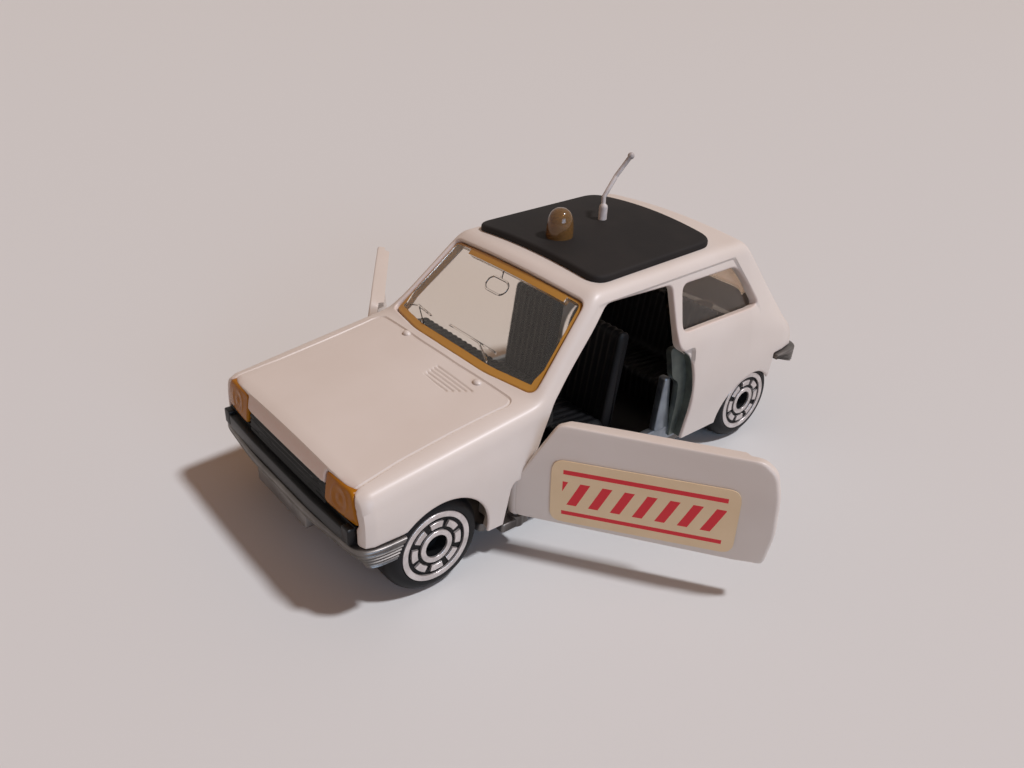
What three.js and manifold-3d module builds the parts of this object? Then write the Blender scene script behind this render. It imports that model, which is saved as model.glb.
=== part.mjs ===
// A die-cast toy hatchback standing on its wheels with both doors open at their stops.
// Millimetres. +X is the car's left side, -Y its front, +Z is up and the floor is z = 0.
import * as THREE from 'three';
import { mergeVertices } from 'three/addons/utils/BufferGeometryUtils.js';
import Module from 'manifold-3d';

const wasm = await Module();
wasm.setup();
const { clamp, lerp, degToRad } = THREE.MathUtils;

// Driving dimensions: the body casting
const overallLength = 80.4;
const bodyWidth = 35.2;
const roofHeight = 31.5;
const bodyBottom = 5;
const wall = 1.3;
const noseSetback = 0.8;
const tailSetback = 0.6;
const noseLean = 0.75;
const noseCorner = 2;
const tailCorner = 4.2;
const chinHeight = 13;
const lipHeight = 17.4;
const lipRadius = 0.8;
const widestHeight = 13;
const sillTuck = 0.8;
const beltTuck = 0.75;
const beltHeight = 19.9;
const wingDrop = 0.75;
const bonnetTuck = 2.75;
const bonnetCrown = 0.8;
const cowlBack = 23.9;
const cowlHeight = 20.1;
const screenRun = 10.4;
const screenBow = 1.4;
const railTuck = 3.9;
const roofCrown = 1.2;
const roofRise = 0.7;
const hatchFootHeight = 17.6;
const hatchRun = 11.9;
const hatchFootSetback = 1.9;
const tailTopHeight = 14.4;
const softening = 0.9;

// Driving dimensions: the doors and their hinges
const doorToRearAxle = 13.95;
const doorTop = 19.4;
const doorBottom = 5.4;
const doorThickness = 1.2;
const doorLedge = 2;
const doorLedgeDepth = 1.1;
const doorOpening = 55;
const doorGap = 0.28;
const rearGap = 0.18;
const hingeInset = 1.7;
const hingeForward = 22.75;
const hingeTop = 10.8;
const pinRadius = 0.5;
const pinLength = 1.3;
const bossRadius = 1.05;
const channelDepth = 2.9;
const channelWall = 1;

// Driving dimensions: the running gear
const frontOverhang = 11.1;
const rearOverhang = 12.6;
const wheelRadius = 6.4;
const tyreWidth = 5;
const wheelInset = 0.9;
const trimRadius = 4.6;
const trimThickness = 0.3;
const trimSegments = 8;
const archRadius = 6.7;
const archDrop = 0.5;
const rearArchRadius = 6.6;
const rearArchDrop = 1.7;
const axleRadius = 0.8;

// Driving dimensions: the base, bumpers and fittings
const baseThickness = 1.2;
const baseBottom = 3.6;
const frontBumperTop = 10.4;
const frontBumperBottom = 8;
const rearBumperTop = 12.9;
const rearBumperBottom = 10.2;
const bumperThickness = 1.3;
const plateWidth = 12.2;
const plateHeight = 2;
const sillRailHeight = 2;
const sillPostTop = 15;
const postRadius = 1.7;
const grilleTop = 15;
const grilleHalfWidth = 15.4;
const ledgeTop = 12.3;
const ledgeReach = 0.45;
const lampInner = 9.5;
const lampOuter = 15.9;
const lampTopOuter = 14.8;
const lampBottom = 13;
const lampTop = 16.9;
const lampDepth = 2;
const glassThickness = 0.8;
const glassRecess = 0.4;
const seatWidth = 9.6;
const seatBackHeight = 21.6;
const seatForward = 12;
const seatLength = 8;
const seatRake = 1.4;
const seatBackThickness = 2.2;
const panelHalfWidth = 12.1;
const panelLength = 22.5;
const panelHeight = 0.85;
const panelCorner = 2.4;
const beaconRadius = 1.85;
const beaconHeight = 4.6;
const aerialStemRadius = 0.65;
const aerialStemHeight = 3;
const aerialWhipRadius = 0.32;
const aerialReach = 4;
const aerialRise = 6.2;
const aerialSway = 0.5;
const labelThickness = 0.12;
const labelCorner = 1.6;
const labelFrontMargin = 4.4;
const labelRearMargin = 4.3;
const labelBottomMargin = 0.9;
const labelTopMargin = 4.1;

// Clearances between neighbouring pieces
const seat = 0.06;
const slip = 0.12;
const running = 0.1;

// Places worked out from the driving dimensions
const halfLength = overallLength / 2;
const halfWidth = bodyWidth / 2;
const noseY = -halfLength + noseSetback;
const tailY = halfLength - tailSetback;
const cowlY = noseY + cowlBack;
const headerY = cowlY + screenRun;
const roofRun = tailY - hatchFootSetback - hatchRun - headerY;
const roofRearY = headerY + roofRun;
const hatchFootY = roofRearY + hatchRun;
const railHalfWidth = halfWidth - railTuck;
const railHeight = roofHeight - roofCrown;
const screenFootHalfWidth = halfWidth - beltTuck - 1.2;
const frontAxleY = -halfLength + frontOverhang;
const wheelbase = overallLength - frontOverhang - rearOverhang;
const rearAxleY = frontAxleY + wheelbase;
const wheelFaceX = halfWidth - wheelInset;
const hingeX = halfWidth - hingeInset;
const hingeY = noseY + hingeForward;
const doorLength = rearAxleY - doorToRearAxle - hingeY;
const doorRearY = hingeY + doorLength;
const baseTop = baseBottom + baseThickness;

// Small helpers: solids, lofts, prisms and turned shapes
function solid(geometry) {
  const bare = geometry.index ? geometry.toNonIndexed() : geometry.clone();
  bare.deleteAttribute('normal');
  bare.deleteAttribute('uv');
  const merged = mergeVertices(bare, 1e-4);
  const vertProperties = new Float32Array(merged.attributes.position.array);
  const triVerts = new Uint32Array(merged.index.array);
  const body = new wasm.Manifold(new wasm.Mesh({ numProp: 3, vertProperties, triVerts }));
  if (body.volume() > 0) return body;
  triVerts.reverse();
  return new wasm.Manifold(new wasm.Mesh({ numProp: 3, vertProperties, triVerts }));
}

function union(first, ...others) {
  return others.reduce((sum, piece) => sum.add(piece), first);
}

function carve(first, ...cutters) {
  return cutters.reduce((rest, cutter) => rest.subtract(cutter), first);
}

function geometryOf(manifold) {
  const mesh = manifold.getMesh();
  const geometry = new THREE.BufferGeometry();
  geometry.setAttribute('position', new THREE.BufferAttribute(new Float32Array(mesh.vertProperties), 3));
  geometry.setIndex(new THREE.BufferAttribute(new Uint32Array(mesh.triVerts), 1));
  return geometry;
}

function box(lowX, highX, lowY, highY, lowZ, highZ) {
  const geometry = new THREE.BoxGeometry(highX - lowX, highY - lowY, highZ - lowZ);
  geometry.translate((lowX + highX) / 2, (lowY + highY) / 2, (lowZ + highZ) / 2);
  return solid(geometry);
}

function post(x, y, radius, lowZ, highZ, sides = 12) {
  const geometry = new THREE.CylinderGeometry(radius, radius, highZ - lowZ, sides);
  geometry.rotateX(Math.PI / 2);
  geometry.translate(x, y, (lowZ + highZ) / 2);
  return solid(geometry);
}

function crossRod(lowX, highX, y, z, radius, sides = 12) {
  const geometry = new THREE.CylinderGeometry(radius, radius, highX - lowX, sides);
  geometry.rotateZ(Math.PI / 2);
  geometry.translate((lowX + highX) / 2, y, z);
  return solid(geometry);
}

function turned(profile, x, y, segments) {
  const points = profile.map(([radius, z]) => new THREE.Vector2(radius, z));
  const geometry = new THREE.LatheGeometry(points, segments);
  geometry.rotateX(Math.PI / 2);
  geometry.translate(x, y, 0);
  return solid(geometry);
}

function roundedShape(points, radius) {
  const corners = points.map(([a, b]) => new THREE.Vector2(a, b));
  const shape = new THREE.Shape();
  corners.forEach((corner, i) => {
    const before = corners[(i + corners.length - 1) % corners.length];
    const after = corners[(i + 1) % corners.length];
    const cutIn = Math.min(radius, before.distanceTo(corner) * 0.45);
    const cutOut = Math.min(radius, after.distanceTo(corner) * 0.45);
    const start = corner.clone().add(before.clone().sub(corner).setLength(cutIn));
    const end = corner.clone().add(after.clone().sub(corner).setLength(cutOut));
    if (i === 0) shape.moveTo(start.x, start.y);
    else shape.lineTo(start.x, start.y);
    shape.quadraticCurveTo(corner.x, corner.y, end.x, end.y);
  });
  shape.closePath();
  return shape;
}

// A side-view outline (y, z) carried across the car from one x to another
function sidePrism(points, radius, lowX, highX, steps = 3) {
  const settings = { depth: highX - lowX, bevelEnabled: false, curveSegments: steps };
  const geometry = new THREE.ExtrudeGeometry(roundedShape(points, radius), settings);
  const basis = new THREE.Matrix4().makeBasis(
    new THREE.Vector3(0, 1, 0),
    new THREE.Vector3(0, 0, 1),
    new THREE.Vector3(1, 0, 0),
  );
  geometry.applyMatrix4(basis);
  geometry.translate(lowX, 0, 0);
  return solid(geometry);
}

// A front-view outline (x, z) carried along the car from one y to another
function frontPrism(points, radius, lowY, highY) {
  const settings = { depth: highY - lowY, bevelEnabled: false, curveSegments: 3 };
  const geometry = new THREE.ExtrudeGeometry(roundedShape(points, radius), settings);
  geometry.rotateX(Math.PI / 2);
  geometry.translate(0, highY, 0);
  return solid(geometry);
}

// A plan outline (x, y) raised from one height to another
function planPrism(points, radius, lowZ, highZ, steps = 4) {
  const settings = { depth: highZ - lowZ, bevelEnabled: false, curveSegments: steps };
  const geometry = new THREE.ExtrudeGeometry(roundedShape(points, radius), settings);
  geometry.translate(0, 0, lowZ);
  return solid(geometry);
}

function mirrored(points) {
  const other = points.map(([x, y]) => [-x, y]).reverse();
  return [...points, ...other];
}

// The same build on both sides, where span orders two distances from the middle
function eachSide(build) {
  return union(...[-1, 1].map((side) => {
    const span = (a, b) => [Math.min(side * a, side * b), Math.max(side * a, side * b)];
    return build(side, span);
  }));
}

// The body's outer form: one section ring for each station along the car
function chain(y, knots) {
  let value = knots[0][1];
  for (let i = 1; i < knots.length; i += 1) {
    const [startY, startValue] = knots[i - 1];
    const [endY, endValue] = knots[i];
    if (y > startY) value = lerp(startValue, endValue, clamp((y - startY) / (endY - startY), 0, 1));
  }
  return value;
}

function softChain(y, knots) {
  return (chain(y - softening, knots) + 2 * chain(y, knots) + chain(y + softening, knots)) / 4;
}

function planScale(y) {
  const fromNose = clamp((noseY + noseCorner - y) / noseCorner, 0, 1);
  const fromTail = clamp((y - tailY + tailCorner) / tailCorner, 0, 1);
  const nose = Math.sqrt(1 - (0.98 * fromNose) ** 4);
  const tail = (1 - (0.95 * fromTail) ** 4) ** 0.3;
  const taper = chain(y, [[noseY, 0.98], [frontAxleY, 0.99], [cowlY, 1], [roofRearY, 1], [tailY, 0.955]]);
  return nose * tail * taper;
}

// How far the top edge is rounded down at the leaning nose and at the tail
function endDrop(y) {
  const nose = [[0, lipHeight - chinHeight], [noseLean, lipRadius / 3], [noseLean + lipRadius, 0]];
  const tail = [[0, lipRadius], [lipRadius / 3, lipRadius / 3], [lipRadius, 0]];
  return chain(y - noseY, nose) + chain(tailY - y, tail);
}

const roofFlatY = headerY + 9;
const roofBreakY = roofRearY - 6;
const railSpan = [
  [noseY, halfWidth - bonnetTuck],
  [cowlY, halfWidth - bonnetTuck],
  [cowlY + screenBow, screenFootHalfWidth],
  [headerY + screenBow, railHalfWidth],
  [roofRearY, railHalfWidth],
  [hatchFootY, halfWidth - bonnetTuck],
];
const railLine = [
  [noseY, lipHeight - bonnetCrown / 2],
  [cowlY + screenBow, cowlHeight + 0.3],
  [headerY + screenBow, railHeight],
  [roofRearY, railHeight + roofRise],
  [hatchFootY, hatchFootHeight - 0.4],
  [tailY, tailTopHeight - 0.5],
];
const crownLine = [
  [noseY, lipHeight],
  [cowlY, cowlHeight + bonnetCrown],
  [headerY, roofHeight - 0.5],
  [roofFlatY, roofHeight],
  [roofBreakY, roofHeight + roofRise],
  [roofRearY, roofHeight + roofRise - 0.4],
  [hatchFootY, hatchFootHeight],
  [tailY, tailTopHeight],
];
const beltLine = [
  [noseY, lipHeight - bonnetCrown / 2 - wingDrop],
  [cowlY, beltHeight - 0.4],
  [headerY, beltHeight],
  [roofRearY, beltHeight],
  [hatchFootY, hatchFootHeight - 1.2],
  [tailY, tailTopHeight - 1.2],
];

function section(y, inset, bottom) {
  const lean = chain(y, [[headerY, -1], [headerY + 6, 0], [roofRearY - 8, 0], [roofRearY, 1]]);
  const at = clamp(y + inset * lean, noseY, tailY);
  const plan = planScale(at);
  const drop = endDrop(at);
  const belt = softChain(at, beltLine) - drop - 0.6 * inset;
  const corners = [
    [(halfWidth - sillTuck) * plan - inset, bottom],
    [halfWidth * plan - inset, Math.min(widestHeight, belt - 2)],
    [(halfWidth - beltTuck) * plan - inset, belt],
    [softChain(at, railSpan) * plan - inset, softChain(at, railLine) - drop - inset],
    [0, softChain(at, crownLine) - drop - inset],
  ];
  return corners.map(([x, z]) => new THREE.Vector2(x, z));
}

function eased(before, corner, after, reach, steps) {
  const start = corner.clone().lerp(before, Math.min(0.45, reach / before.distanceTo(corner)));
  const end = corner.clone().lerp(after, Math.min(0.45, reach / after.distanceTo(corner)));
  return new THREE.QuadraticBezierCurve(start, corner, end).getPoints(steps);
}

function ring(y, inset, bottom) {
  const [sill, side, belt, rail, crown] = section(y, inset, bottom);
  const shoulder = new THREE.Vector2(rail.x * 0.55, lerp(rail.y, crown.y, 0.72));
  const hidden = [sill, side, belt, rail, shoulder];
  const shown = [
    sill,
    ...eased(sill, side, belt, 4, 1),
    ...eased(side, belt, rail, 1.4, 2),
    ...eased(belt, rail, shoulder, 1.5, 2),
    shoulder,
  ];
  const half = inset > wall / 2 ? hidden : shown;
  const other = half.map((point) => new THREE.Vector2(-point.x, point.y)).reverse();
  return [...half, crown, ...other].map((point) => new THREE.Vector3(point.x, y, point.y));
}

function loft(rings) {
  const size = rings[0].length;
  const positions = rings.flat().flatMap((point) => point.toArray());
  const index = [];
  for (let r = 0; r < rings.length - 1; r += 1) {
    for (let i = 0; i < size; i += 1) {
      const a = r * size + i;
      const b = r * size + (i + 1) % size;
      index.push(a, b, a + size, b, b + size, a + size);
    }
  }
  const flat = (points) => points.map((point) => new THREE.Vector2(point.x, point.z));
  const last = (rings.length - 1) * size;
  THREE.ShapeUtils.triangulateShape(flat(rings[0]), []).forEach(([a, b, c]) => index.push(a, c, b));
  THREE.ShapeUtils.triangulateShape(flat(rings.at(-1)), []).forEach(([a, b, c]) => {
    index.push(last + a, last + b, last + c);
  });
  const geometry = new THREE.BufferGeometry();
  geometry.setAttribute('position', new THREE.Float32BufferAttribute(positions, 3));
  geometry.setIndex(index);
  return solid(geometry);
}

function spread(low, high, count) {
  return Array.from({ length: count }, (_, i) => lerp(low, high, i / count));
}

function bodyForm(inset, bottom) {
  const front = noseY + inset;
  const back = tailY - inset;
  const stations = [
    front,
    front + 0.2,
    front + noseLean,
    front + 1.2,
    front + noseLean + lipRadius,
    ...spread(front + 2.4, cowlY - 1.2, 3),
    ...spread(cowlY - 1.2, cowlY + 2.4, 3),
    ...spread(cowlY + 2.4, headerY - 1.2, 2),
    ...spread(headerY - 1.2, headerY + 2.4, 3),
    headerY + 2.4,
    roofFlatY,
    roofBreakY,
    ...spread(roofRearY - 3, roofRearY + 1.2, 3),
    ...spread(roofRearY + 1.2, hatchFootY - 1.6, 2),
    hatchFootY - 1.6,
    back - 0.8,
    back - 0.2,
    back,
  ];
  return loft(stations.map((y) => ring(y, inset, bottom)));
}

function sideX(z) {
  const low = halfWidth - sillTuck;
  if (z < widestHeight) return lerp(low, halfWidth, (z - bodyBottom) / (widestHeight - bodyBottom));
  return lerp(halfWidth, halfWidth - beltTuck, (z - widestHeight) / (beltHeight - widestHeight));
}

const outerForm = bodyForm(0, bodyBottom);
const farBelow = bodyBottom - 6;
const farSide = bodyWidth * 1.4;
const highRoof = roofHeight + roofRise + 4;

// Door and window outlines in side view, as (y, z)
const doorTopFront = hingeY + 4.6;
const doorTopRear = doorRearY - 2.7;
const doorOutline = [
  [hingeY, doorBottom],
  [hingeY, hingeTop + doorGap],
  [hingeY + 2.7, hingeTop + 5.2],
  [doorTopFront, doorTop],
  [doorTopRear, doorTop],
  [doorRearY - 1.05, doorTop - 1.3],
  [doorRearY - 0.35, widestHeight + 2.4],
  [doorRearY, widestHeight - 2.8],
  [doorRearY - 0.5, doorBottom],
];
const pillarFootY = doorTopFront + 0.6;
const pillarTopY = headerY + 3.2;
const windowTop = railHeight - 1.4;
const windowRearY = doorRearY - 3.7;
const wingRearY = hingeY - hingeInset - doorGap;
const apertureOutline = [
  [wingRearY - 0.7, bodyBottom - 1],
  [wingRearY, hingeTop + doorGap],
  [hingeY + 0.2, hingeTop + doorGap],
  [hingeY + 2.4, hingeTop + 5.3],
  [doorTopFront - 0.35, doorTop],
  [pillarFootY, doorTop + 0.9],
  [pillarTopY, windowTop],
  [windowRearY, windowTop - 0.3],
  [windowRearY + 0.2, doorTop + 0.9],
  [doorRearY - 1.05 + rearGap, doorTop - 1.3 + doorGap],
  [doorRearY - 0.35 + rearGap, widestHeight + 2.4],
  [doorRearY + rearGap, widestHeight - 2.8],
  [doorRearY - 0.5 + rearGap, bodyBottom - 1],
];
const quarterFrontY = windowRearY + 2.8;
const quarterOutline = [
  [quarterFrontY - 1.5, beltHeight + 2.2],
  [quarterFrontY - 0.8, windowTop - 0.7],
  [roofRearY - 2.6, windowTop - 0.6],
  [roofRearY + 2.2, beltHeight + 2.2],
];

// The windscreen and hatch openings lie in leaning planes
function leaningPrism(points, radius, footY, footZ, headY, headZ, depth) {
  const settings = { depth, bevelEnabled: false, curveSegments: 4 };
  const geometry = new THREE.ExtrudeGeometry(roundedShape(points, radius), settings);
  const across = new THREE.Vector3(1, 0, 0);
  const upward = new THREE.Vector3(0, headY - footY, headZ - footZ).normalize();
  const outward = across.clone().cross(upward);
  geometry.translate(0, 0, -depth / 2);
  geometry.applyMatrix4(new THREE.Matrix4().makeBasis(across, upward, outward));
  geometry.translate(0, footY, footZ);
  return solid(geometry);
}

function screenOpening(shrink) {
  const footY = cowlY + screenBow + 0.3;
  const footZ = cowlHeight + 0.1;
  const headY = headerY + 0.2;
  const headZ = roofHeight - 2;
  const length = Math.hypot(headY - footY, headZ - footZ) - shrink;
  const half = screenFootHalfWidth - 0.75 - shrink;
  const top = railHalfWidth - 0.8 - shrink;
  const points = mirrored([[half * 0.5, shrink - 0.9], [half, shrink], [top, length]]);
  return leaningPrism(points, 1.1, footY, footZ, headY, headZ, 7);
}

function hatchOpening(shrink) {
  const footZ = beltHeight + 1.6;
  const headZ = railHeight - 1.6;
  const footY = lerp(hatchFootY, roofRearY, (footZ - hatchFootHeight) / (roofHeight - hatchFootHeight));
  const headY = lerp(hatchFootY, roofRearY, (headZ - hatchFootHeight) / (roofHeight - hatchFootHeight));
  const length = Math.hypot(headY - footY, headZ - footZ) - shrink;
  const half = screenFootHalfWidth - 2.2 - shrink;
  const top = railHalfWidth - 1.6 - shrink;
  const points = mirrored([[-half, shrink], [-top, length]]);
  return leaningPrism(points, 1.2, footY, footZ, headY, headZ, 6);
}

// Body shell: the casting, its openings, hinge bosses and riveted posts
const bumperCutY = noseY + 6.9;
const rearCutY = tailY - 6.6;
const frontPostY = noseY + 7.4;
const rearPostY = tailY - 3.4;
const spigotRadius = 1;
const rivetRadius = 1.7;
const panelFrontY = headerY + 2.8;
const beaconY = panelFrontY + 4.75;
const aerialY = panelFrontY + 13.75;
const aerialX = -1;
const pegRadius = 0.6;

const frontArchY = frontAxleY + 0.7;
const wellX = wheelFaceX + 0.25;
const wellRadius = wheelRadius + 0.35;
const archSides = 24;
function wheelOpenings() {
  const frontZ = wheelRadius - archDrop;
  const rearZ = wheelRadius - rearArchDrop;
  return union(
    crossRod(-farSide, farSide, frontArchY, frontZ, archRadius, archSides),
    crossRod(-farSide, farSide, rearAxleY, rearZ, rearArchRadius, archSides),
    crossRod(-wellX, wellX, frontAxleY, wheelRadius, wellRadius, archSides),
    crossRod(-wellX, wellX, rearAxleY, wheelRadius, wellRadius, archSides),
    box(-farSide, farSide, frontArchY - archRadius, frontArchY + archRadius, farBelow, frontZ),
    box(-farSide, farSide, rearAxleY - rearArchRadius, rearAxleY + rearArchRadius, farBelow, rearZ),
  );
}

const lampPocketDepth = lampDepth + slip;
const pocketSides = [-1, 1];
const cavityFront = noseY + lampPocketDepth + 2.2;
const cavityForm = carve(
  bodyForm(wall, farBelow),
  box(-farSide, farSide, noseY - 1, cavityFront, farBelow, roofHeight),
);
function lampBlock(side, clearance, backY) {
  const outline = [
    [lampInner - clearance, lampBottom - clearance],
    [lampOuter + clearance, lampBottom - clearance],
    [lampTopOuter + clearance, lampTop + clearance],
    [lampInner - clearance, lampTop + clearance],
  ];
  return frontPrism(outline.map(([x, z]) => [side * x, z]), 0.6, noseY - 3, backY);
}

const lampPockets = pocketSides.map((side) => lampBlock(side, slip, noseY + lampPocketDepth + 1.1));
const grillePocket = box(
  -grilleHalfWidth - slip,
  grilleHalfWidth + slip,
  noseY - 3,
  noseY + lampPocketDepth,
  farBelow,
  grilleTop + slip,
);
const hingeBosses = pocketSides.map((side) => {
  const x = side * hingeX;
  const bossBottom = hingeTop + doorGap;
  const bossTop = bossBottom + 2.6;
  const block = post(x, hingeY, bossRadius, bossBottom, bossTop);
  const low = Math.min(x, side * (halfWidth - 0.5));
  const high = Math.max(x, side * (halfWidth - 0.5));
  const foot = box(low, high, hingeY - bossRadius, hingeY + 0.1, bossBottom, bossTop);
  return union(block, foot).intersect(outerForm);
});
const pinHoles = pocketSides.map((side) => {
  return post(side * hingeX, hingeY, pinRadius + running, hingeTop - 1, hingeTop + pinLength + 0.4);
});
// A channel in each front pillar, behind the wing, that the door's nose turns in
const channelTop = beltHeight - 2;
const channelInner = hingeX - channelDepth;
const channelReturn = [
  [wingRearY - channelWall - 0.6, bodyBottom],
  [wingRearY - 0.6, bodyBottom],
  [wingRearY, hingeTop + doorGap],
  [wingRearY, channelTop],
  [wingRearY - channelWall, channelTop],
];
const pillarChannels = eachSide((side, span) => union(
  sidePrism(channelReturn, 0.1, ...span(channelInner, halfWidth - sillTuck - wall / 2), 1),
  box(
    ...span(channelInner, channelInner + channelWall),
    wingRearY - channelWall,
    hingeY + bossRadius * 1.8,
    bodyBottom,
    channelTop,
  ),
));
const rivets = [frontPostY, rearPostY].map((y) => union(
  post(0, y, postRadius, baseTop + seat, roofHeight).intersect(outerForm),
  post(0, y, spigotRadius, baseBottom - 0.3, baseTop + 1),
  post(0, y, rivetRadius, baseBottom - seat - 0.6, baseBottom - seat),
));
const shellWalls = carve(
  outerForm,
  cavityForm,
  sidePrism(apertureOutline, 0.9, -farSide, farSide),
  sidePrism(quarterOutline, 0.9, -farSide, farSide),
  screenOpening(0),
  hatchOpening(0),
  wheelOpenings(),
  box(-farSide, farSide, -halfLength, bumperCutY, farBelow, frontBumperTop + slip),
  box(-farSide, farSide, rearCutY, halfLength, farBelow, rearBumperTop + slip),
  grillePocket,
  ...lampPockets,
  post(0, beaconY, pegRadius + running, railHeight - 3, highRoof),
  post(aerialX, aerialY, pegRadius + running, railHeight - 3, highRoof),
);
const bodyShell = carve(union(shellWalls, pillarChannels, ...hingeBosses, ...rivets), ...pinHoles);

// Doors, drawn shut and then swung open about their hinges
const swingClear = 0.22;
function edgeRadius(z) {
  const edge = [
    [hingeTop, hingeY + 0.2],
    [hingeTop + 5.3, hingeY + 2.4],
    [doorTop, doorTopFront - 0.35],
  ];
  return Math.hypot(sideX(z) + 0.1 - hingeX, chain(z, edge) - hingeY) + swingClear;
}

function closedDoor() {
  const slab = outerForm.intersect(sidePrism(doorOutline, 0.6, hingeX - 6, farSide));
  const innerForm = bodyForm(doorThickness, farBelow);
  const ledgeForm = bodyForm(doorLedge, farBelow);
  const skin = slab.subtract(innerForm);
  const ledgeZone = box(
    0,
    farSide,
    doorTopFront + 1,
    windowRearY - 0.5,
    doorTop - doorLedgeDepth,
    doorTop + 1,
  );
  const ledge = slab.intersect(ledgeZone).subtract(ledgeForm);
  const nose = turned(
    [
      [0, doorBottom],
      [sideX(doorBottom) - hingeX - 0.02, doorBottom],
      [sideX(hingeTop) - hingeX - 0.02, hingeTop],
      [0, hingeTop],
    ],
    hingeX,
    hingeY,
    16,
  );
  const steps = spread(hingeTop + doorGap / 2, doorTop + 0.5, 4);
  const sweep = turned(
    [
      [0, hingeTop + doorGap / 2],
      ...steps.map((z) => [edgeRadius(z), z]),
      [edgeRadius(doorTop + 0.5), doorTop + 0.5],
      [0, doorTop + 0.5],
    ],
    hingeX,
    hingeY,
    18,
  );
  const pins = post(hingeX, hingeY, pinRadius, doorBottom - pinLength, hingeTop + pinLength);
  return union(skin, ledge).subtract(sweep).add(nose).add(pins);
}

function openedDoor(shut, side) {
  const geometry = geometryOf(shut);
  geometry.translate(-hingeX, -hingeY, 0);
  geometry.rotateZ(-degToRad(doorOpening));
  geometry.translate(hingeX, hingeY, 0);
  if (side < 0) {
    geometry.scale(-1, 1, 1);
    geometry.setIndex(new THREE.BufferAttribute(new Uint32Array(geometry.index.array).reverse(), 1));
  }
  return geometry;
}

const labelFrontY = hingeY + labelFrontMargin;
const labelRearY = doorRearY - labelRearMargin;
const labelBottom = doorBottom + labelBottomMargin;
const labelTop = doorTop - labelTopMargin;
const labelOutline = [
  [labelFrontY, labelBottom],
  [labelFrontY, labelTop],
  [labelRearY, labelTop],
  [labelRearY, labelBottom],
];
function closedLabel() {
  const sheet = bodyForm(-seat - labelThickness, farBelow).subtract(bodyForm(-seat, farBelow));
  return sheet.intersect(sidePrism(labelOutline, labelCorner, hingeX - 6, farSide));
}

// Glazing: one clear moulding under the roof with panes standing in its openings
const paneShift = slip + 0.05;
const underRoof = bodyForm(wall + seat, farBelow).subtract(bodyForm(wall + seat + glassThickness, farBelow));
const glassFloor = beltHeight + 0.9;
const frontGlassRegion = box(-farSide, farSide, cowlY, hatchFootY, glassFloor, highRoof);
const sideGap = [
  [pillarFootY - 3, glassFloor - 2],
  [pillarTopY - 2.2, railHeight - 1.6],
  [windowRearY + 0.1, railHeight - 1.6],
  [windowRearY + 0.1, glassFloor - 2],
];
const panes = bodyForm(glassRecess, farBelow)
  .subtract(bodyForm(wall + seat + glassThickness, farBelow))
  .intersect(union(screenOpening(paneShift), hatchOpening(paneShift)))
  .intersect(box(-farSide, farSide, cowlY, hatchFootY, glassFloor - 1, highRoof));
const glazing = carve(
  union(underRoof.intersect(frontGlassRegion), panes),
  sidePrism(sideGap, 0.5, -farSide, farSide),
  post(0, beaconY, pegRadius + 0.6, railHeight - 4, highRoof),
  post(aerialX, aerialY, pegRadius + 0.6, railHeight - 4, highRoof),
);

// Base: floor plate, bumpers, blank number plate, sill rails, door jambs and axle lugs
const wheelGap = 0.8;
const wheelInnerX = wheelFaceX - tyreWidth;
const baseNarrow = wheelInnerX - wheelGap;
const sillOuter = sideX(doorBottom) - doorThickness - 0.5;
const archGap = archRadius + 0.4;
const floorFrontY = noseY + 4.4;
const baseOutline = mirrored([
  [0, floorFrontY],
  [baseNarrow, floorFrontY],
  [baseNarrow, frontAxleY + archGap],
  [sillOuter, frontAxleY + archGap + 0.4],
  [sillOuter, rearAxleY - archGap],
  [baseNarrow, rearAxleY - archGap + 0.4],
  [baseNarrow, tailY - 1.2],
  [0, tailY - 1.2],
]);

function bumper(reachY, endY, bottom, top) {
  const inward = -Math.sign(reachY);
  const side = halfWidth - seat;
  const deep = bumperThickness * 1.5;
  const outer = [
    [side, endY],
    [side, reachY + inward * 3],
    [side - 0.6, reachY + inward * 1.5],
    [side - 2.2, reachY + inward * 0.6],
    [side * 0.4, reachY],
  ];
  const inner = [
    [side - bumperThickness, endY],
    [side - bumperThickness, reachY + inward * (3 + bumperThickness)],
    [side - 2.8, reachY + inward * (0.6 + deep)],
    [side * 0.4, reachY + inward * deep],
  ];
  const opposite = (points) => points.map(([x, y]) => [-x, y]);
  const loop = [...outer, ...opposite(outer).reverse(), ...opposite(inner), ...[...inner].reverse()];
  return planPrism(loop, 0.5, bottom, top, 2);
}

const frontBumperY = -halfLength;
const rearBumperY = halfLength;
const bumperSlope = [
  [frontBumperY - 1, frontBumperTop - 1],
  [frontBumperY, frontBumperTop - 1],
  [frontBumperY + 1.3, frontBumperBottom - 0.1],
  [frontBumperY - 1, frontBumperBottom - 0.1],
];
const frontBumper = carve(
  bumper(frontBumperY, bumperCutY - 0.3, frontBumperBottom, frontBumperTop),
  sidePrism(bumperSlope, 0.2, -farSide, farSide, 1),
  crossRod(-farSide, farSide, frontArchY, wheelRadius - archDrop, archRadius, archSides),
  crossRod(-wellX, wellX, frontAxleY, wheelRadius, wellRadius, archSides),
);
const rearBumper = carve(
  bumper(rearBumperY, rearCutY + 0.3, rearBumperBottom, rearBumperTop),
  crossRod(-farSide, farSide, rearAxleY, wheelRadius - rearArchDrop, rearArchRadius + 0.3, archSides),
  crossRod(-wellX, wellX, rearAxleY, wheelRadius, wellRadius, archSides),
);
const plateBottom = frontBumperBottom - 0.9;
const numberPlate = box(
  -plateWidth / 2,
  plateWidth / 2,
  frontBumperY + 0.35,
  frontBumperY + 1.9,
  plateBottom,
  plateBottom + plateHeight,
);
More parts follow.
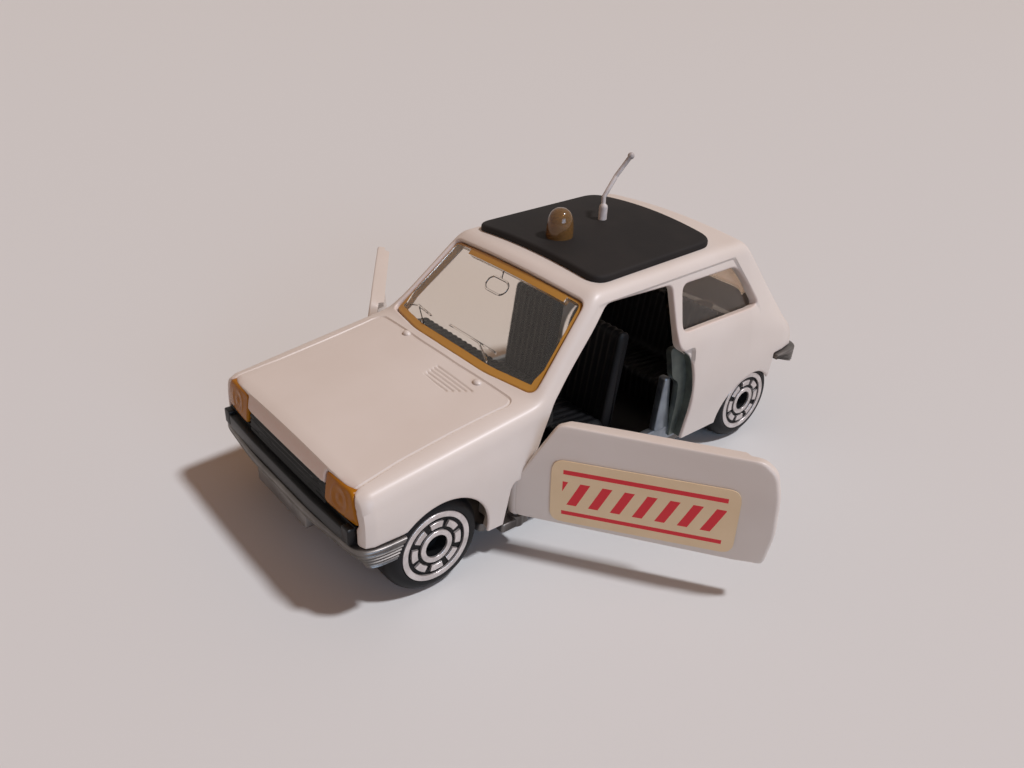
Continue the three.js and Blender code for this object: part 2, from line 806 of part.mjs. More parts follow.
// The valances slope from the bumpers down to the floor plate
const frontValance = sidePrism(
  [
    [frontBumperY + 1.5, frontBumperBottom + 0.6],
    [floorFrontY, baseBottom],
    [floorFrontY + 1.6, baseBottom],
    [frontBumperY + 3, frontBumperBottom + 0.6],
  ],
  0.1,
  -baseNarrow,
  baseNarrow,
  1,
);
const rearValance = box(
  -baseNarrow,
  baseNarrow,
  tailY - 1.55,
  rearBumperY - 1.2,
  baseBottom,
  rearBumperBottom + 1.2,
);
const jambOutline = [
  [windowRearY - 0.1, doorTop + 0.6],
  [windowRearY + 0.5, sillPostTop + 0.6],
  [windowRearY + 1.9, sillPostTop - 0.6],
  [windowRearY + 2.4, bodyBottom - 0.4],
  [doorRearY + 1.1, bodyBottom - 0.4],
  [doorRearY + 1.1, widestHeight],
  [doorRearY - 0.4, doorTop + 0.6],
];
const jambs = bodyForm(wall + slip, farBelow)
  .subtract(bodyForm(wall + slip + 0.9, farBelow))
  .intersect(sidePrism(jambOutline, 0.6, -farSide, farSide));

const sillRailWidth = 1.3;
const sillPostOutline = [
  [windowRearY - 0.55, baseTop + sillRailHeight - 0.2],
  [windowRearY + 0.15, sillPostTop],
  [windowRearY + 1.25, sillPostTop],
  [windowRearY + 2.35, baseTop + sillRailHeight - 0.2],
];
const sillRails = eachSide((side, span) => union(
  box(
    ...span(sillOuter - sillRailWidth, sillOuter),
    hingeY + 2.4,
    doorRearY + 1.1,
    baseTop - 0.5,
    baseTop + sillRailHeight,
  ),
  sidePrism(sillPostOutline, 0.3, ...span(sillOuter - sillRailWidth, sillOuter), 1),
));
const hingeTabs = eachSide((side, span) => union(
  post(side * hingeX, hingeY, bossRadius, baseBottom, doorBottom - doorGap),
  box(
    ...span(sillOuter - 1, halfWidth - sillTuck),
    wingRearY - 0.8,
    hingeY + bossRadius * 1.4,
    baseBottom,
    baseTop,
  ),
));
const axleLugs = [frontAxleY, rearAxleY].map((y) => eachSide((side, span) => box(
  ...span(baseNarrow - 2, baseNarrow - 0.2),
  y - 1.9,
  y + 1.9,
  baseTop - 0.5,
  wheelRadius + axleRadius + 1,
)));
const basePlate = carve(
  union(
    planPrism(baseOutline, 0.8, baseBottom, baseTop, 2),
    frontValance,
    rearValance,
    frontBumper,
    rearBumper,
    numberPlate,
    jambs,
    sillRails,
    hingeTabs,
    ...axleLugs,
  ),
  crossRod(-baseNarrow, baseNarrow, frontAxleY, wheelRadius, axleRadius + running),
  crossRod(-baseNarrow, baseNarrow, rearAxleY, wheelRadius, axleRadius + running),
  post(0, frontPostY, spigotRadius + running, baseBottom - 1, frontBumperTop),
  post(0, rearPostY, spigotRadius + running, baseBottom - 1, rearBumperTop),
  post(hingeX, hingeY, pinRadius + running, baseBottom - 1, doorBottom),
  post(-hingeX, hingeY, pinRadius + running, baseBottom - 1, doorBottom),
);

// Grille with its projecting ledge, and the two headlamp lenses
const ledgeBottom = frontBumperTop + slip;
const ledgeFrontY = noseY - ledgeReach;
const ledgeOutline = mirrored([
  [0, noseY + lampDepth],
  [grilleHalfWidth, noseY + lampDepth],
  [grilleHalfWidth, ledgeFrontY + 0.5],
  [grilleHalfWidth - 0.8, ledgeFrontY + 0.2],
  [halfWidth * 0.4, ledgeFrontY],
]);
const grilleZone = box(
  -grilleHalfWidth,
  grilleHalfWidth,
  -halfLength,
  noseY + lampDepth,
  ledgeBottom,
  grilleTop,
);
const ledgeKeepOut = bodyForm(-slip, farBelow).subtract(grilleZone);
const grille = carve(
  union(
    bodyForm(0.5, farBelow).intersect(grilleZone),
    planPrism(ledgeOutline, 0.5, ledgeBottom, ledgeTop, 2).subtract(ledgeKeepOut),
  ),
  ...lampPockets,
);

function headlampLens(side) {
  return bodyForm(slip, farBelow).intersect(lampBlock(side, 0, noseY + lampDepth + 1.1));
}

// Interior moulding: floor, bulkhead with dashboard, front seats and rear bench
const tubHalfWidth = sillOuter - 1.7;
const tubBottom = baseTop + seat * 3;
const tubFloor = tubBottom + 1;
const benchHalfWidth = baseNarrow - 0.5;
const dashY = cowlY + 2.4;
const seatFrontY = hingeY + seatForward;
const seatBackY = seatFrontY + seatLength;
const seatInnerX = 1.6;
const dashDepth = 3.8;
const dashHeight = 6.2;

function frontSeat(span) {
  const cushion = [
    [seatFrontY, tubFloor - 0.5],
    [seatFrontY - 0.3, tubFloor + 3.6],
    [seatBackY, tubFloor + 2.8],
    [seatBackY, tubFloor - 0.5],
  ];
  const back = [
    [seatBackY - 0.6, tubFloor + 1],
    [seatBackY + seatRake, seatBackHeight],
    [seatBackY + seatRake + seatBackThickness, seatBackHeight - 0.4],
    [seatBackY + seatBackThickness - 0.6, tubFloor - 0.5],
  ];
  const [low, high] = span(seatInnerX, seatInnerX + seatWidth);
  return union(sidePrism(cushion, 1.2, low, high), sidePrism(back, 1.1, low + 0.3, high - 0.3));
}

const dashOutline = [
  [dashY, tubFloor - 0.5],
  [dashY, cowlHeight - 1.3],
  [dashY + dashDepth, cowlHeight - 1.7],
  [dashY + dashDepth + 0.6, cowlHeight - dashHeight],
  [dashY + 1.4, cowlHeight - dashHeight - 1],
  [dashY + 1.4, tubFloor - 0.5],
];
const benchFrontY = doorRearY + 1.4;
const benchBackY = benchFrontY + seatLength;
const benchOutline = [
  [benchFrontY, tubBottom],
  [benchFrontY, tubFloor + 4.6],
  [benchBackY, tubFloor + 3.8],
  [benchBackY + seatRake, beltHeight - 0.6],
  [benchBackY + seatRake + seatBackThickness, beltHeight - 0.8],
  [benchBackY + seatBackThickness, tubBottom],
];
const interiorTub = union(
  box(-tubHalfWidth, tubHalfWidth, dashY, benchFrontY + 1, tubBottom, tubFloor),
  sidePrism(dashOutline, 0.6, -tubHalfWidth, tubHalfWidth),
  sidePrism(benchOutline, 0.9, -benchHalfWidth, benchHalfWidth),
  eachSide((side, span) => frontSeat(span)),
);

// Roof panel, beacon and aerial
const panelOutline = mirrored([
  [panelHalfWidth, panelFrontY],
  [panelHalfWidth - 0.2, panelFrontY + panelLength],
]);
const panelPrism = planPrism(panelOutline, panelCorner, railHeight - 2, highRoof);
const roofPanel = carve(
  bodyForm(-seat - panelHeight, farBelow).intersect(panelPrism),
  bodyForm(-seat, farBelow),
  post(0, beaconY, beaconRadius + slip, railHeight, highRoof, 24),
  post(aerialX, aerialY, aerialStemRadius + slip, railHeight, highRoof),
);
const beaconSeat = softChain(beaconY + beaconRadius, crownLine) + seat;
const aerialSeat = softChain(aerialY + aerialStemRadius, crownLine) + seat;
const beacon = turned(
  [
    [0, beaconSeat - wall],
    [pegRadius, beaconSeat - wall],
    [pegRadius, beaconSeat],
    [beaconRadius, beaconSeat],
    [beaconRadius * 0.94, beaconSeat + beaconHeight * 0.62],
    [beaconRadius * 0.78, beaconSeat + beaconHeight * 0.86],
    [beaconRadius * 0.42, beaconSeat + beaconHeight * 0.98],
    [0, beaconSeat + beaconHeight],
  ],
  0,
  beaconY,
  20,
);
const stemTop = aerialSeat + aerialStemHeight;
const aerialPath = new THREE.CatmullRomCurve3([
  new THREE.Vector3(aerialX, aerialY, stemTop - 1),
  new THREE.Vector3(aerialX - aerialSway * 0.7, aerialY + aerialReach * 0.05, stemTop + aerialRise * 0.13),
  new THREE.Vector3(aerialX - aerialSway, aerialY + aerialReach * 0.6, stemTop + aerialRise * 0.55),
  new THREE.Vector3(aerialX + aerialSway * 0.8, aerialY + aerialReach, stemTop + aerialRise),
]);
const whipSection = new THREE.Shape().absarc(0, 0, aerialWhipRadius, 0, Math.PI * 2);
const whipSettings = { steps: 8, curveSegments: 3, bevelEnabled: false, extrudePath: aerialPath };
const ballTip = new THREE.SphereGeometry(aerialWhipRadius * 1.5, 8, 4);
ballTip.translate(...aerialPath.getPoint(1).toArray());
const aerial = union(
  turned(
    [
      [0, aerialSeat - wall],
      [pegRadius, aerialSeat - wall],
      [pegRadius, aerialSeat],
      [aerialStemRadius, aerialSeat],
      [aerialStemRadius, stemTop - 0.3],
      [aerialStemRadius * 0.7, stemTop],
      [0, stemTop],
    ],
    aerialX,
    aerialY,
    12,
  ),
  solid(new THREE.ExtrudeGeometry(whipSection, whipSettings)),
  solid(ballTip),
);

// Wheels: one black moulding each, a plated trim on its face and a steel axle per pair
const boreRadius = axleRadius + seat;
const hubRadius = 1.5;
const wheelSides = 22;
const trimFloor = trimThickness + seat;
const wheelProfile = [
  [boreRadius, 1.8],
  [hubRadius, 1.8],
  [hubRadius, trimFloor],
  [trimRadius + seat, trimFloor],
  [trimRadius + seat, 0.1],
  [wheelRadius - 1, 0.15],
  [wheelRadius, 1],
  [wheelRadius, tyreWidth - 0.6],
  [wheelRadius - 0.5, tyreWidth],
  [trimRadius, tyreWidth - 1.8],
  [boreRadius, tyreWidth - 1.8],
  [boreRadius, 1.8],
];

function wheel(side, y) {
  const points = wheelProfile.map(([radius, depth]) => new THREE.Vector2(radius, -depth));
  const geometry = new THREE.LatheGeometry(points, wheelSides);
  geometry.rotateZ(-side * Math.PI / 2);
  geometry.translate(side * wheelFaceX, y, wheelRadius);
  return solid(geometry);
}

const trimHubRadius = 2.15;
const segmentInner = 2.5;
const segmentOuter = 3.55;
const trimRimInner = 3.9;
const bridgeWidth = 0.4;
const segmentGap = 0.55;
function trimShape() {
  const polar = (radius, angle) => new THREE.Vector2(radius * Math.cos(angle), radius * Math.sin(angle));
  const arc = (radius, start, end) => [0, 1].map((t) => polar(radius, lerp(start, end, t)));
  const pitch = Math.PI * 2 / trimSegments;
  const shape = new THREE.Shape().absarc(0, 0, trimRadius, 0, Math.PI * 2);
  shape.holes.push(new THREE.Path().absarc(0, 0, hubRadius, 0, Math.PI * 2));
  for (let i = 0; i < trimSegments; i += 1) {
    const from = i * pitch;
    const to = from + pitch;
    const middle = (from + to) / 2;
    const start = (radius) => from + bridgeWidth / 2 / radius;
    const end = (radius) => to - bridgeWidth / 2 / radius;
    const early = (radius) => middle - segmentGap / 2 / radius;
    const late = (radius) => middle + segmentGap / 2 / radius;
    shape.holes.push(new THREE.Path([
      ...arc(trimRimInner, start(trimRimInner), end(trimRimInner)),
      polar(segmentOuter, end(segmentOuter)),
      polar(segmentOuter, late(segmentOuter)),
      polar(segmentInner, late(segmentInner)),
      polar(segmentInner, end(segmentInner)),
      ...arc(trimHubRadius, end(trimHubRadius), start(trimHubRadius)),
      polar(segmentInner, start(segmentInner)),
      polar(segmentInner, early(segmentInner)),
      polar(segmentOuter, early(segmentOuter)),
      polar(segmentOuter, start(segmentOuter)),
    ]));
  }
  return shape;
}

function wheelTrim(side, y) {
  const settings = { depth: trimThickness, bevelEnabled: false, curveSegments: 10 };
  const geometry = new THREE.ExtrudeGeometry(trimShape(), settings);
  geometry.translate(0, 0, -trimThickness);
  geometry.rotateY(side * Math.PI / 2);
  geometry.translate(side * wheelFaceX, y, wheelRadius);
  return solid(geometry);
}

function axle(y) {
  const end = wheelFaceX - 2.2;
  return crossRod(-end, end, y, wheelRadius, axleRadius);
}

// Finishes and the assembled group
function finish(color, roughness, metalness, opacity = 1) {
  return new THREE.MeshStandardMaterial({ color, roughness, metalness, opacity, transparent: opacity < 1 });
}

const enamel = finish('#dccfc2', 0.3, 0);
const zinc = finish('#8d9296', 0.4, 0.9);
const steel = finish('#b4b6b8', 0.3, 1);
const blackPlastic = finish('#1b1b1d', 0.45, 0);
const mattePlastic = finish('#242426', 0.7, 0);
const foil = finish('#d6d3d0', 0.25, 0.9);
const amberLens = finish('#d68a26', 0.15, 0, 0.85);
const clearAmber = finish('#b98d4e', 0.1, 0, 0.35);
const softGrey = finish('#c9c6c2', 0.55, 0);
const creamPaper = finish('#e8dcc0', 0.6, 0);

const car = new THREE.Group();
car.name = 'toy_car';

function place(name, shape, material) {
  const geometry = shape.isBufferGeometry ? shape : geometryOf(shape);
  const mesh = new THREE.Mesh(geometry, material);
  mesh.name = name;
  car.add(mesh);
}

place('body_shell', bodyShell, enamel);
place('base_plate', basePlate, zinc);
place('grille', grille, blackPlastic);
place('left_headlamp_lens', headlampLens(1), amberLens);
place('right_headlamp_lens', headlampLens(-1), amberLens);
place('glazing', glazing, clearAmber);
place('interior_tub', interiorTub, mattePlastic);
place('roof_panel', roofPanel, mattePlastic);
place('roof_beacon', beacon, amberLens);
place('aerial', aerial, softGrey);
const doorShut = closedDoor();
const labelShut = closedLabel();
for (const [name, side] of [['left', 1], ['right', -1]]) {
  place(`${name}_door`, openedDoor(doorShut, side), enamel);
  place(`${name}_door_label`, openedDoor(labelShut, side), creamPaper);
}
for (const [end, y] of [['front', frontAxleY], ['rear', rearAxleY]]) {
  place(`${end}_axle`, axle(y), steel);
  for (const [name, side] of [['left', 1], ['right', -1]]) {
    place(`${end}_${name}_wheel`, wheel(side, y), blackPlastic);
    place(`${end}_${name}_wheel_trim`, wheelTrim(side, y), foil);
  }
}

export default car;
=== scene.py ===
import math

import bmesh
import bpy
import numpy as np
from mathutils import Matrix, Vector


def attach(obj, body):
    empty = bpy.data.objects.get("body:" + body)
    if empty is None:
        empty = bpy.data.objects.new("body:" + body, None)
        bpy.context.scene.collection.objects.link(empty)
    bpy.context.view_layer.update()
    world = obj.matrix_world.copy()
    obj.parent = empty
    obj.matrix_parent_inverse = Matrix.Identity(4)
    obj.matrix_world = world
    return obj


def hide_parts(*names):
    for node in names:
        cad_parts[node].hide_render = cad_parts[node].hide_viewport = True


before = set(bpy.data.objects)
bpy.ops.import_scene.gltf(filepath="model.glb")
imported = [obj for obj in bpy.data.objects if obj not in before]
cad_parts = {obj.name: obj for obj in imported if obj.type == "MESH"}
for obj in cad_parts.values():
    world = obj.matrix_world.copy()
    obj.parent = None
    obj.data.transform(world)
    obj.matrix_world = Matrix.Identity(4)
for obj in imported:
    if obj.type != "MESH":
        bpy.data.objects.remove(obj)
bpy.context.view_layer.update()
mm = 0.001
print("frame loaded:", len(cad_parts), "nodes")


def addObject(name, data):
    item = bpy.data.objects.new(name, data)
    bpy.context.collection.objects.link(item)
    return item


def direction(azimuth, elevation):
    # a unit vector: azimuth in degrees from +X, elevation in degrees from the floor
    turn, rise = math.radians(azimuth), math.radians(elevation)
    return Vector((math.cos(turn) * math.cos(rise), math.sin(turn) * math.cos(rise), math.sin(rise)))


# The camera stands where the photograph was taken, in millimetres and degrees
camera = {
    "azimuth": 48.711, "elevation": 29.487, "roll": 3.192, "distance": 123.185,
    "target": (-1.653, -2.994, 10.654), "focalPixels": 862.13, "pictureWidth": 1024, "sensor": 36.0,
    "clip": (0.002, 20.0),
}


def addCamera():
    # at azimuth 0 the camera looks along +Y, so it stands a quarter turn back from +X
    away = direction(camera["azimuth"] - 90, camera["elevation"])
    roll = math.radians(camera["roll"])
    right = (-away).cross(Vector((0, 0, 1))).normalized()
    up = right.cross(-away)
    turnedRight = math.cos(roll) * right + math.sin(roll) * up
    turnedUp = -math.sin(roll) * right + math.cos(roll) * up
    data = bpy.data.cameras.new("photoCamera")
    data.sensor_width = camera["sensor"]
    data.lens = camera["sensor"] * camera["focalPixels"] / camera["pictureWidth"]
    data.clip_start, data.clip_end = camera["clip"]
    eye = addObject("photoCamera", data)
    place = (Vector(camera["target"]) + away * camera["distance"]) * mm
    axes = Matrix((turnedRight, turnedUp, away)).transposed()
    eye.matrix_world = Matrix.Translation(place) @ axes.to_4x4()
    bpy.context.scene.camera = eye


addCamera()
print("camera placed")


# Materials
def hexColour(code):
    # sRGB hex to linear light, channel by channel
    channels = [int(code[i:i + 2], 16) / 255 for i in (1, 3, 5)]
    return tuple(c / 12.92 if c <= 0.04045 else ((c + 0.055) / 1.055) ** 2.4 for c in channels) + (1.0,)


def addNode(tree, kind, inputs=None, **settings):
    # an input is a value to set or another node's output to link
    node = tree.nodes.new(kind)
    for key, value in settings.items():
        setattr(node, key, value)
    for key, value in (inputs or {}).items():
        if isinstance(value, bpy.types.NodeSocket):
            tree.links.new(value, node.inputs[key])
        else:
            node.inputs[key].default_value = value
    return node


def startMaterial(name, values):
    material = bpy.data.materials.new(name)
    material.use_nodes = True
    tree = material.node_tree
    shader = tree.nodes["Principled BSDF"]
    for key, value in values.items():
        shader.inputs[key].default_value = value
    place = addNode(tree, "ShaderNodeTexCoord").outputs["Object"]
    return material, tree, shader, place


def perMetre(sizeMm):
    # a texture repeats once per unit, so a pattern of this size needs this scale
    return 1 / (sizeMm * mm)


def addGrain(tree, shader, place, sizeMm, depthMm):
    grain = addNode(tree, "ShaderNodeTexNoise", {"Scale": perMetre(sizeMm), "Detail": 2.0, "Vector": place})
    bump = addNode(
        tree, "ShaderNodeBump", {"Strength": 1.0, "Distance": depthMm * mm, "Height": grain.outputs["Fac"]})
    tree.links.new(bump.outputs["Normal"], shader.inputs["Normal"])


def addTwoTone(tree, shader, place, sizeMm, dark, light, spread=(0.35, 0.65)):
    patch = addNode(tree, "ShaderNodeTexNoise", {"Scale": perMetre(sizeMm), "Detail": 4.0, "Vector": place})
    ramp = addNode(tree, "ShaderNodeValToRGB", {"Fac": patch.outputs["Fac"]})
    for i, code in enumerate((dark, light)):
        ramp.color_ramp.elements[i].position = spread[i]
        ramp.color_ramp.elements[i].color = hexColour(code)
    tree.links.new(ramp.outputs["Color"], shader.inputs["Base Color"])
    return ramp.outputs["Color"]


# Stoved enamel over a zinc casting: glossy and softly uneven, a warmer, darker tone along the front lip and
# the flanks' opening edges, and a few chips down to dark metal
enamelLook = {
    "light": "#cfc5bb", "shade": "#cabfb4", "edgeTone": "#cdb0a3", "bare": "#3b342f",
    "patchMm": 14, "peelMm": 1.6, "peelDepth": 0.006, "raggedMm": 0.35, "chipReach": 0.35, "chipTear": 1.2,
    "chips": [((5.9, -27.7, 18.7), 0.26), ((8.2, -27.8, 18.6), 0.15), ((11.6, -35.2, 17.5), 0.12),
              ((-7.5, -38.2, 16.2), 0.3), ((14.9, -37.2, 15.6), 0.16), ((15.5, 35.5, 17.2), 0.2)],
}


def makeEnamel():
    material, tree, shader, place = startMaterial(
        "stovedEnamel", {"Roughness": 0.46, "IOR": 1.5, "Coat Weight": 0.12, "Coat Roughness": 0.28})
    tone = addTwoTone(tree, shader, place, enamelLook["patchMm"], enamelLook["shade"], enamelLook["light"])
    addGrain(tree, shader, place, enamelLook["peelMm"], enamelLook["peelDepth"])
    scale = perMetre(enamelLook["raggedMm"])
    noise = addNode(tree, "ShaderNodeTexNoise", {"Scale": scale, "Detail": 3.0, "Vector": place})
    ragged = noise.outputs["Fac"]
    # a warmer, darker tone is mixed in where the mask is set: the middle of the front lip and the flanks'
    # opening edges
    lipAndRimTone = addNode(tree, "ShaderNodeAttribute", attribute_name="lipAndRimTone").outputs["Fac"]
    toned = addNode(tree, "ShaderNodeMath", {0: lipAndRimTone, 1: ragged}, operation="MULTIPLY")
    edgeTone, bare = hexColour(enamelLook["edgeTone"]), hexColour(enamelLook["bare"])
    mix = addNode(tree, "ShaderNodeMix", {0: toned.outputs[0], 6: tone, 7: edgeTone}, data_type="RGBA")
    for centre, radius in enamelLook["chips"]:
        # a chip lies where the distance from its centre, less a ragged share of its radius, is small
        middle = [c * mm for c in centre]
        tear, limit = -enamelLook["chipTear"] * radius * mm, enamelLook["chipReach"] * radius * mm
        reach = addNode(tree, "ShaderNodeVectorMath", {0: place, 1: middle}, operation="DISTANCE")
        torn = addNode(
            tree, "ShaderNodeMath", {0: ragged, 1: tear, 2: reach.outputs["Value"]}, operation="MULTIPLY_ADD")
        chip = addNode(tree, "ShaderNodeMath", {0: torn.outputs[0], 1: limit}, operation="LESS_THAN")
        mix = addNode(
            tree, "ShaderNodeMix", {0: chip.outputs[0], 6: mix.outputs[2], 7: bare}, data_type="RGBA")
    tree.links.new(mix.outputs[2], shader.inputs["Base Color"])
    return material


# Bare die-cast zinc: grey, softly shiny, with faint flow marks
def makeZinc(name, dark, light, roughness):
    material, tree, shader, place = startMaterial(name, {"Metallic": 0.9, "Roughness": roughness})
    addTwoTone(tree, shader, place, 2.2, dark, light, (0.3, 0.7))
    addGrain(tree, shader, place, 0.5, 0.006)
    return material


# Moulded polystyrene: an even black skin, dull in the cabin and on the roof, brighter on grille and wheels
def makeBlack(name, dark, light, roughness, sheen, grainMm, grainDepth):
    material, tree, shader, place = startMaterial(name, {"Roughness": roughness, "Specular IOR Level": sheen})
    addTwoTone(tree, shader, place, 6, dark, light, (0.4, 0.75))
    addGrain(tree, shader, place, grainMm, grainDepth)
    return material


# Tinted styrene: clear to look through, deep amber where the light runs along it
def makeTint(name, tint, density, roughness, base, clear, sheen):
    material, tree, shader, place = startMaterial(name, {
        "Base Color": hexColour(base), "Transmission Weight": clear, "Roughness": roughness, "IOR": 1.5,
        "Specular IOR Level": sheen,
    })
    addGrain(tree, shader, place, 2.5, 0.004)
    body = addNode(tree, "ShaderNodeVolumeAbsorption", {"Color": hexColour(tint), "Density": density})
    tree.links.new(body.outputs["Volume"], tree.nodes["Material Output"].inputs["Volume"])
    return material


# Hot-stamped silver foil: bright, slightly wavy; its pale warm tint is painted reflection of the pale floor
def makeFoil():
    material, tree, shader, place = startMaterial("hotFoil", {"Metallic": 0.75, "Roughness": 0.3})
    addTwoTone(tree, shader, place, 1.5, "#c4bdba", "#dfd8d5")
    addGrain(tree, shader, place, 0.9, 0.01)
    return material


# Soft polyethylene: pale grey and waxy
def makeSoftGrey():
    material, tree, shader, place = startMaterial("waxyPolyethylene", {
        "Roughness": 0.5, "Subsurface Weight": 0.15, "Subsurface Radius": (0.0006, 0.0005, 0.0004)})
    addTwoTone(tree, shader, place, 2, "#a59d98", "#c3bbb5")
    return material


# Printed paper: tan and matt, with slanted red bars between two red rules, each a middle and a half width
labelPrint = {
    "paper": "#e0c7a2", "faded": "#d6bb93", "ink": "#d02a33", "fleckMm": 3, "slant": 0.45, "barPitch": 1.3,
    "barStart": 0.72, "bars": (4.5, 1.7), "rules": [(1.5, 0.3), (7.5, 0.3)], "length": (10.8, 9.4),
}


def makePaper():
    material, tree, shader, place = startMaterial("printedPaper", {"Roughness": 0.62, "IOR": 1.45})
    along = addNode(tree, "ShaderNodeAttribute", attribute_name="labelAlong").outputs["Fac"]
    above = addNode(tree, "ShaderNodeAttribute", attribute_name="labelAbove").outputs["Fac"]

    def strip(value, middle, half):
        # 1 within half a width of the middle and 0 elsewhere
        offset = addNode(tree, "ShaderNodeMath", {0: value, 1: middle}, operation="SUBTRACT")
        size = addNode(tree, "ShaderNodeMath", {0: offset.outputs[0]}, operation="ABSOLUTE")
        within = addNode(tree, "ShaderNodeMath", {0: size.outputs[0], 1: half}, operation="LESS_THAN")
        return within.outputs[0]

    slope, pitch, start = -labelPrint["slant"], labelPrint["barPitch"], labelPrint["barStart"]
    slant = addNode(tree, "ShaderNodeMath", {0: above, 1: slope, 2: along}, operation="MULTIPLY_ADD")
    turn = addNode(tree, "ShaderNodeMath", {0: slant.outputs[0], 1: pitch}, operation="PINGPONG")
    bar = addNode(tree, "ShaderNodeMath", {0: turn.outputs[0], 1: start}, operation="GREATER_THAN")
    band = strip(above, *labelPrint["bars"])
    ink = addNode(tree, "ShaderNodeMath", {0: band, 1: bar.outputs[0]}, operation="MULTIPLY")
    for rule in labelPrint["rules"]:
        line = strip(above, *rule)
        ink = addNode(tree, "ShaderNodeMath", {0: ink.outputs[0], 1: line}, operation="MAXIMUM")
    margin = strip(along, *labelPrint["length"])
    printed = addNode(tree, "ShaderNodeMath", {0: ink.outputs[0], 1: margin}, operation="MULTIPLY").outputs[0]
    scale = perMetre(labelPrint["fleckMm"])
    noise = addNode(tree, "ShaderNodeTexNoise", {"Scale": scale, "Detail": 5.0, "Vector": place})
    fleck = noise.outputs["Fac"]
    paper, faded, red = (hexColour(labelPrint[key]) for key in ("paper", "faded", "ink"))
    ground = addNode(tree, "ShaderNodeMix", {0: fleck, 6: paper, 7: faded}, data_type="RGBA")
    inked = addNode(tree, "ShaderNodeMix", {0: printed, 6: ground.outputs[2], 7: red}, data_type="RGBA")
    tree.links.new(inked.outputs[2], shader.inputs["Base Color"])
    return material


finishes = {
    "enamel": makeEnamel(),
    "zinc": makeZinc("dieCastZinc", "#625e5b", "#7d7874", 0.38),
    # the sill rails and posts take a brighter, bluish copy of the base's zinc: painted reflection of the
    # light on shiny metal
    "paintedReflectionZinc": makeZinc("zincWithPaintedReflection", "#78808a", "#9aa2aa", 0.3),
    # the door jambs take a darker copy of the base's zinc: painted shade in the doorway
    "paintedShadeZinc": makeZinc("zincWithPaintedShade", "#565b58", "#70766f", 0.5),
    "steel": makeZinc("drawnSteel", "#a9abad", "#bcbec0", 0.28),
    "gloss": makeBlack("mouldedPolystyrene", "#0a0909", "#100f0f", 0.36, 0.3, 0.8, 0.004),
    "tyre": makeBlack("mouldedTyrePlastic", "#0e0e0f", "#161617", 0.5, 0.22, 0.6, 0.006),
    "cabin": makeBlack("cabinPolystyrene", "#08080a", "#0d0d0f", 0.5, 0.2, 0.8, 0.005),
    "matte": makeBlack("matteRoofPlastic", "#1d1917", "#25201d", 0.72, 0.2, 0.35, 0.012),
    "lamp": makeTint("amberStyrene", "#d08a1c", 300, 0.2, "#a4680c", 0.12, 0.12),
    "amber": makeTint("clearAmberStyrene", "#b98a4a", 300, 0.1, "#b4884e", 0.75, 0.4),
    "rim": makeTint("deepAmberStyrene", "#d9a03c", 200, 0.2, "#b9873a", 0.12, 0.3),
    "glass": makeTint("tintedGlazing", "#d39a3c", 230, 0.04, "#fbf6ee", 1.0, 0.5),
    "foil": makeFoil(),
    "softGrey": makeSoftGrey(),
    "paper": makePaper(),
}
print("materials made:", len(finishes))


# Mesh helpers: a part is its points, in millimetres in the car's frame, and its faces, rows of point numbers
meshing = {"weld": 2e-6, "shortest": 1e-6, "sharpAngle": 38}


def addPiece(name, part, body, finish, nodes, weld=True, attributes=None):
    points, faces = part
    mesh = bpy.data.meshes.new(name)
    mesh.from_pydata((points * mm).tolist(), [], faces)
    if weld:
        work = bmesh.new()
        work.from_mesh(mesh)
        bmesh.ops.remove_doubles(work, verts=work.verts, dist=meshing["weld"])
        bmesh.ops.dissolve_degenerate(work, edges=work.edges, dist=meshing["shortest"])
        bmesh.ops.recalc_face_normals(work, faces=work.faces)
        work.to_mesh(mesh)
        work.free()
    for key, values in (attributes or {}).items():
        data = mesh.attributes.new(key, "FLOAT", "POINT").data
        data.foreach_set("value", np.asarray(values, dtype=np.float32))
    mesh.polygons.foreach_set("use_smooth", np.ones(len(mesh.polygons), dtype=bool))
    mesh.set_sharp_from_angle(angle=math.radians(meshing["sharpAngle"]))
    mesh.update()
    mesh.materials.append(finishes[finish])
    piece = addObject(name, mesh)
    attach(piece, body)
    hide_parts(*nodes)


def unit(vectors):
    return vectors / np.maximum(np.linalg.norm(vectors, axis=-1, keepdims=True), 1e-9)


def gridFaces(rows, columns, closeColumns=False, closeRows=False):
    # quads between neighbouring rows of a rows by columns grid of points
    row = np.arange(rows if closeRows else rows - 1)[:, None]
    column = np.arange(columns if closeColumns else columns - 1)[None, :]
    below, after = (row + 1) % rows * columns, (column + 1) % columns
    quads = [row * columns + column, row * columns + after, below + after, below + column]
    return np.stack(quads, axis=2).reshape(-1, 4).tolist()


def sweptPart(rings):
    # closed rings joined one to the next, with a face over each end
    rows, columns = rings.shape[:2]
    ring = list(range(columns))
    caps = [ring[::-1], [(rows - 1) * columns + i for i in ring]]
    return rings.reshape(-1, 3), gridFaces(rows, columns, True) + caps


def joinParts(parts):
    starts = np.cumsum([0] + [len(points) for points, rows in parts]).tolist()
    faces = [[start + i for i in face] for start, (points, rows) in zip(starts, parts) for face in rows]
    return np.concatenate([points for points, rows in parts]), faces


def mirrorPart(part):
    points, faces = part
    return points * (-1, 1, 1), [face[::-1] for face in faces]


def bothSides(part):
    return [part, mirrorPart(part)]


def rectangle(lowA, highA, lowB, highB):
    return np.array([(lowA, lowB), (highA, lowB), (highA, highB), (lowA, highB)])


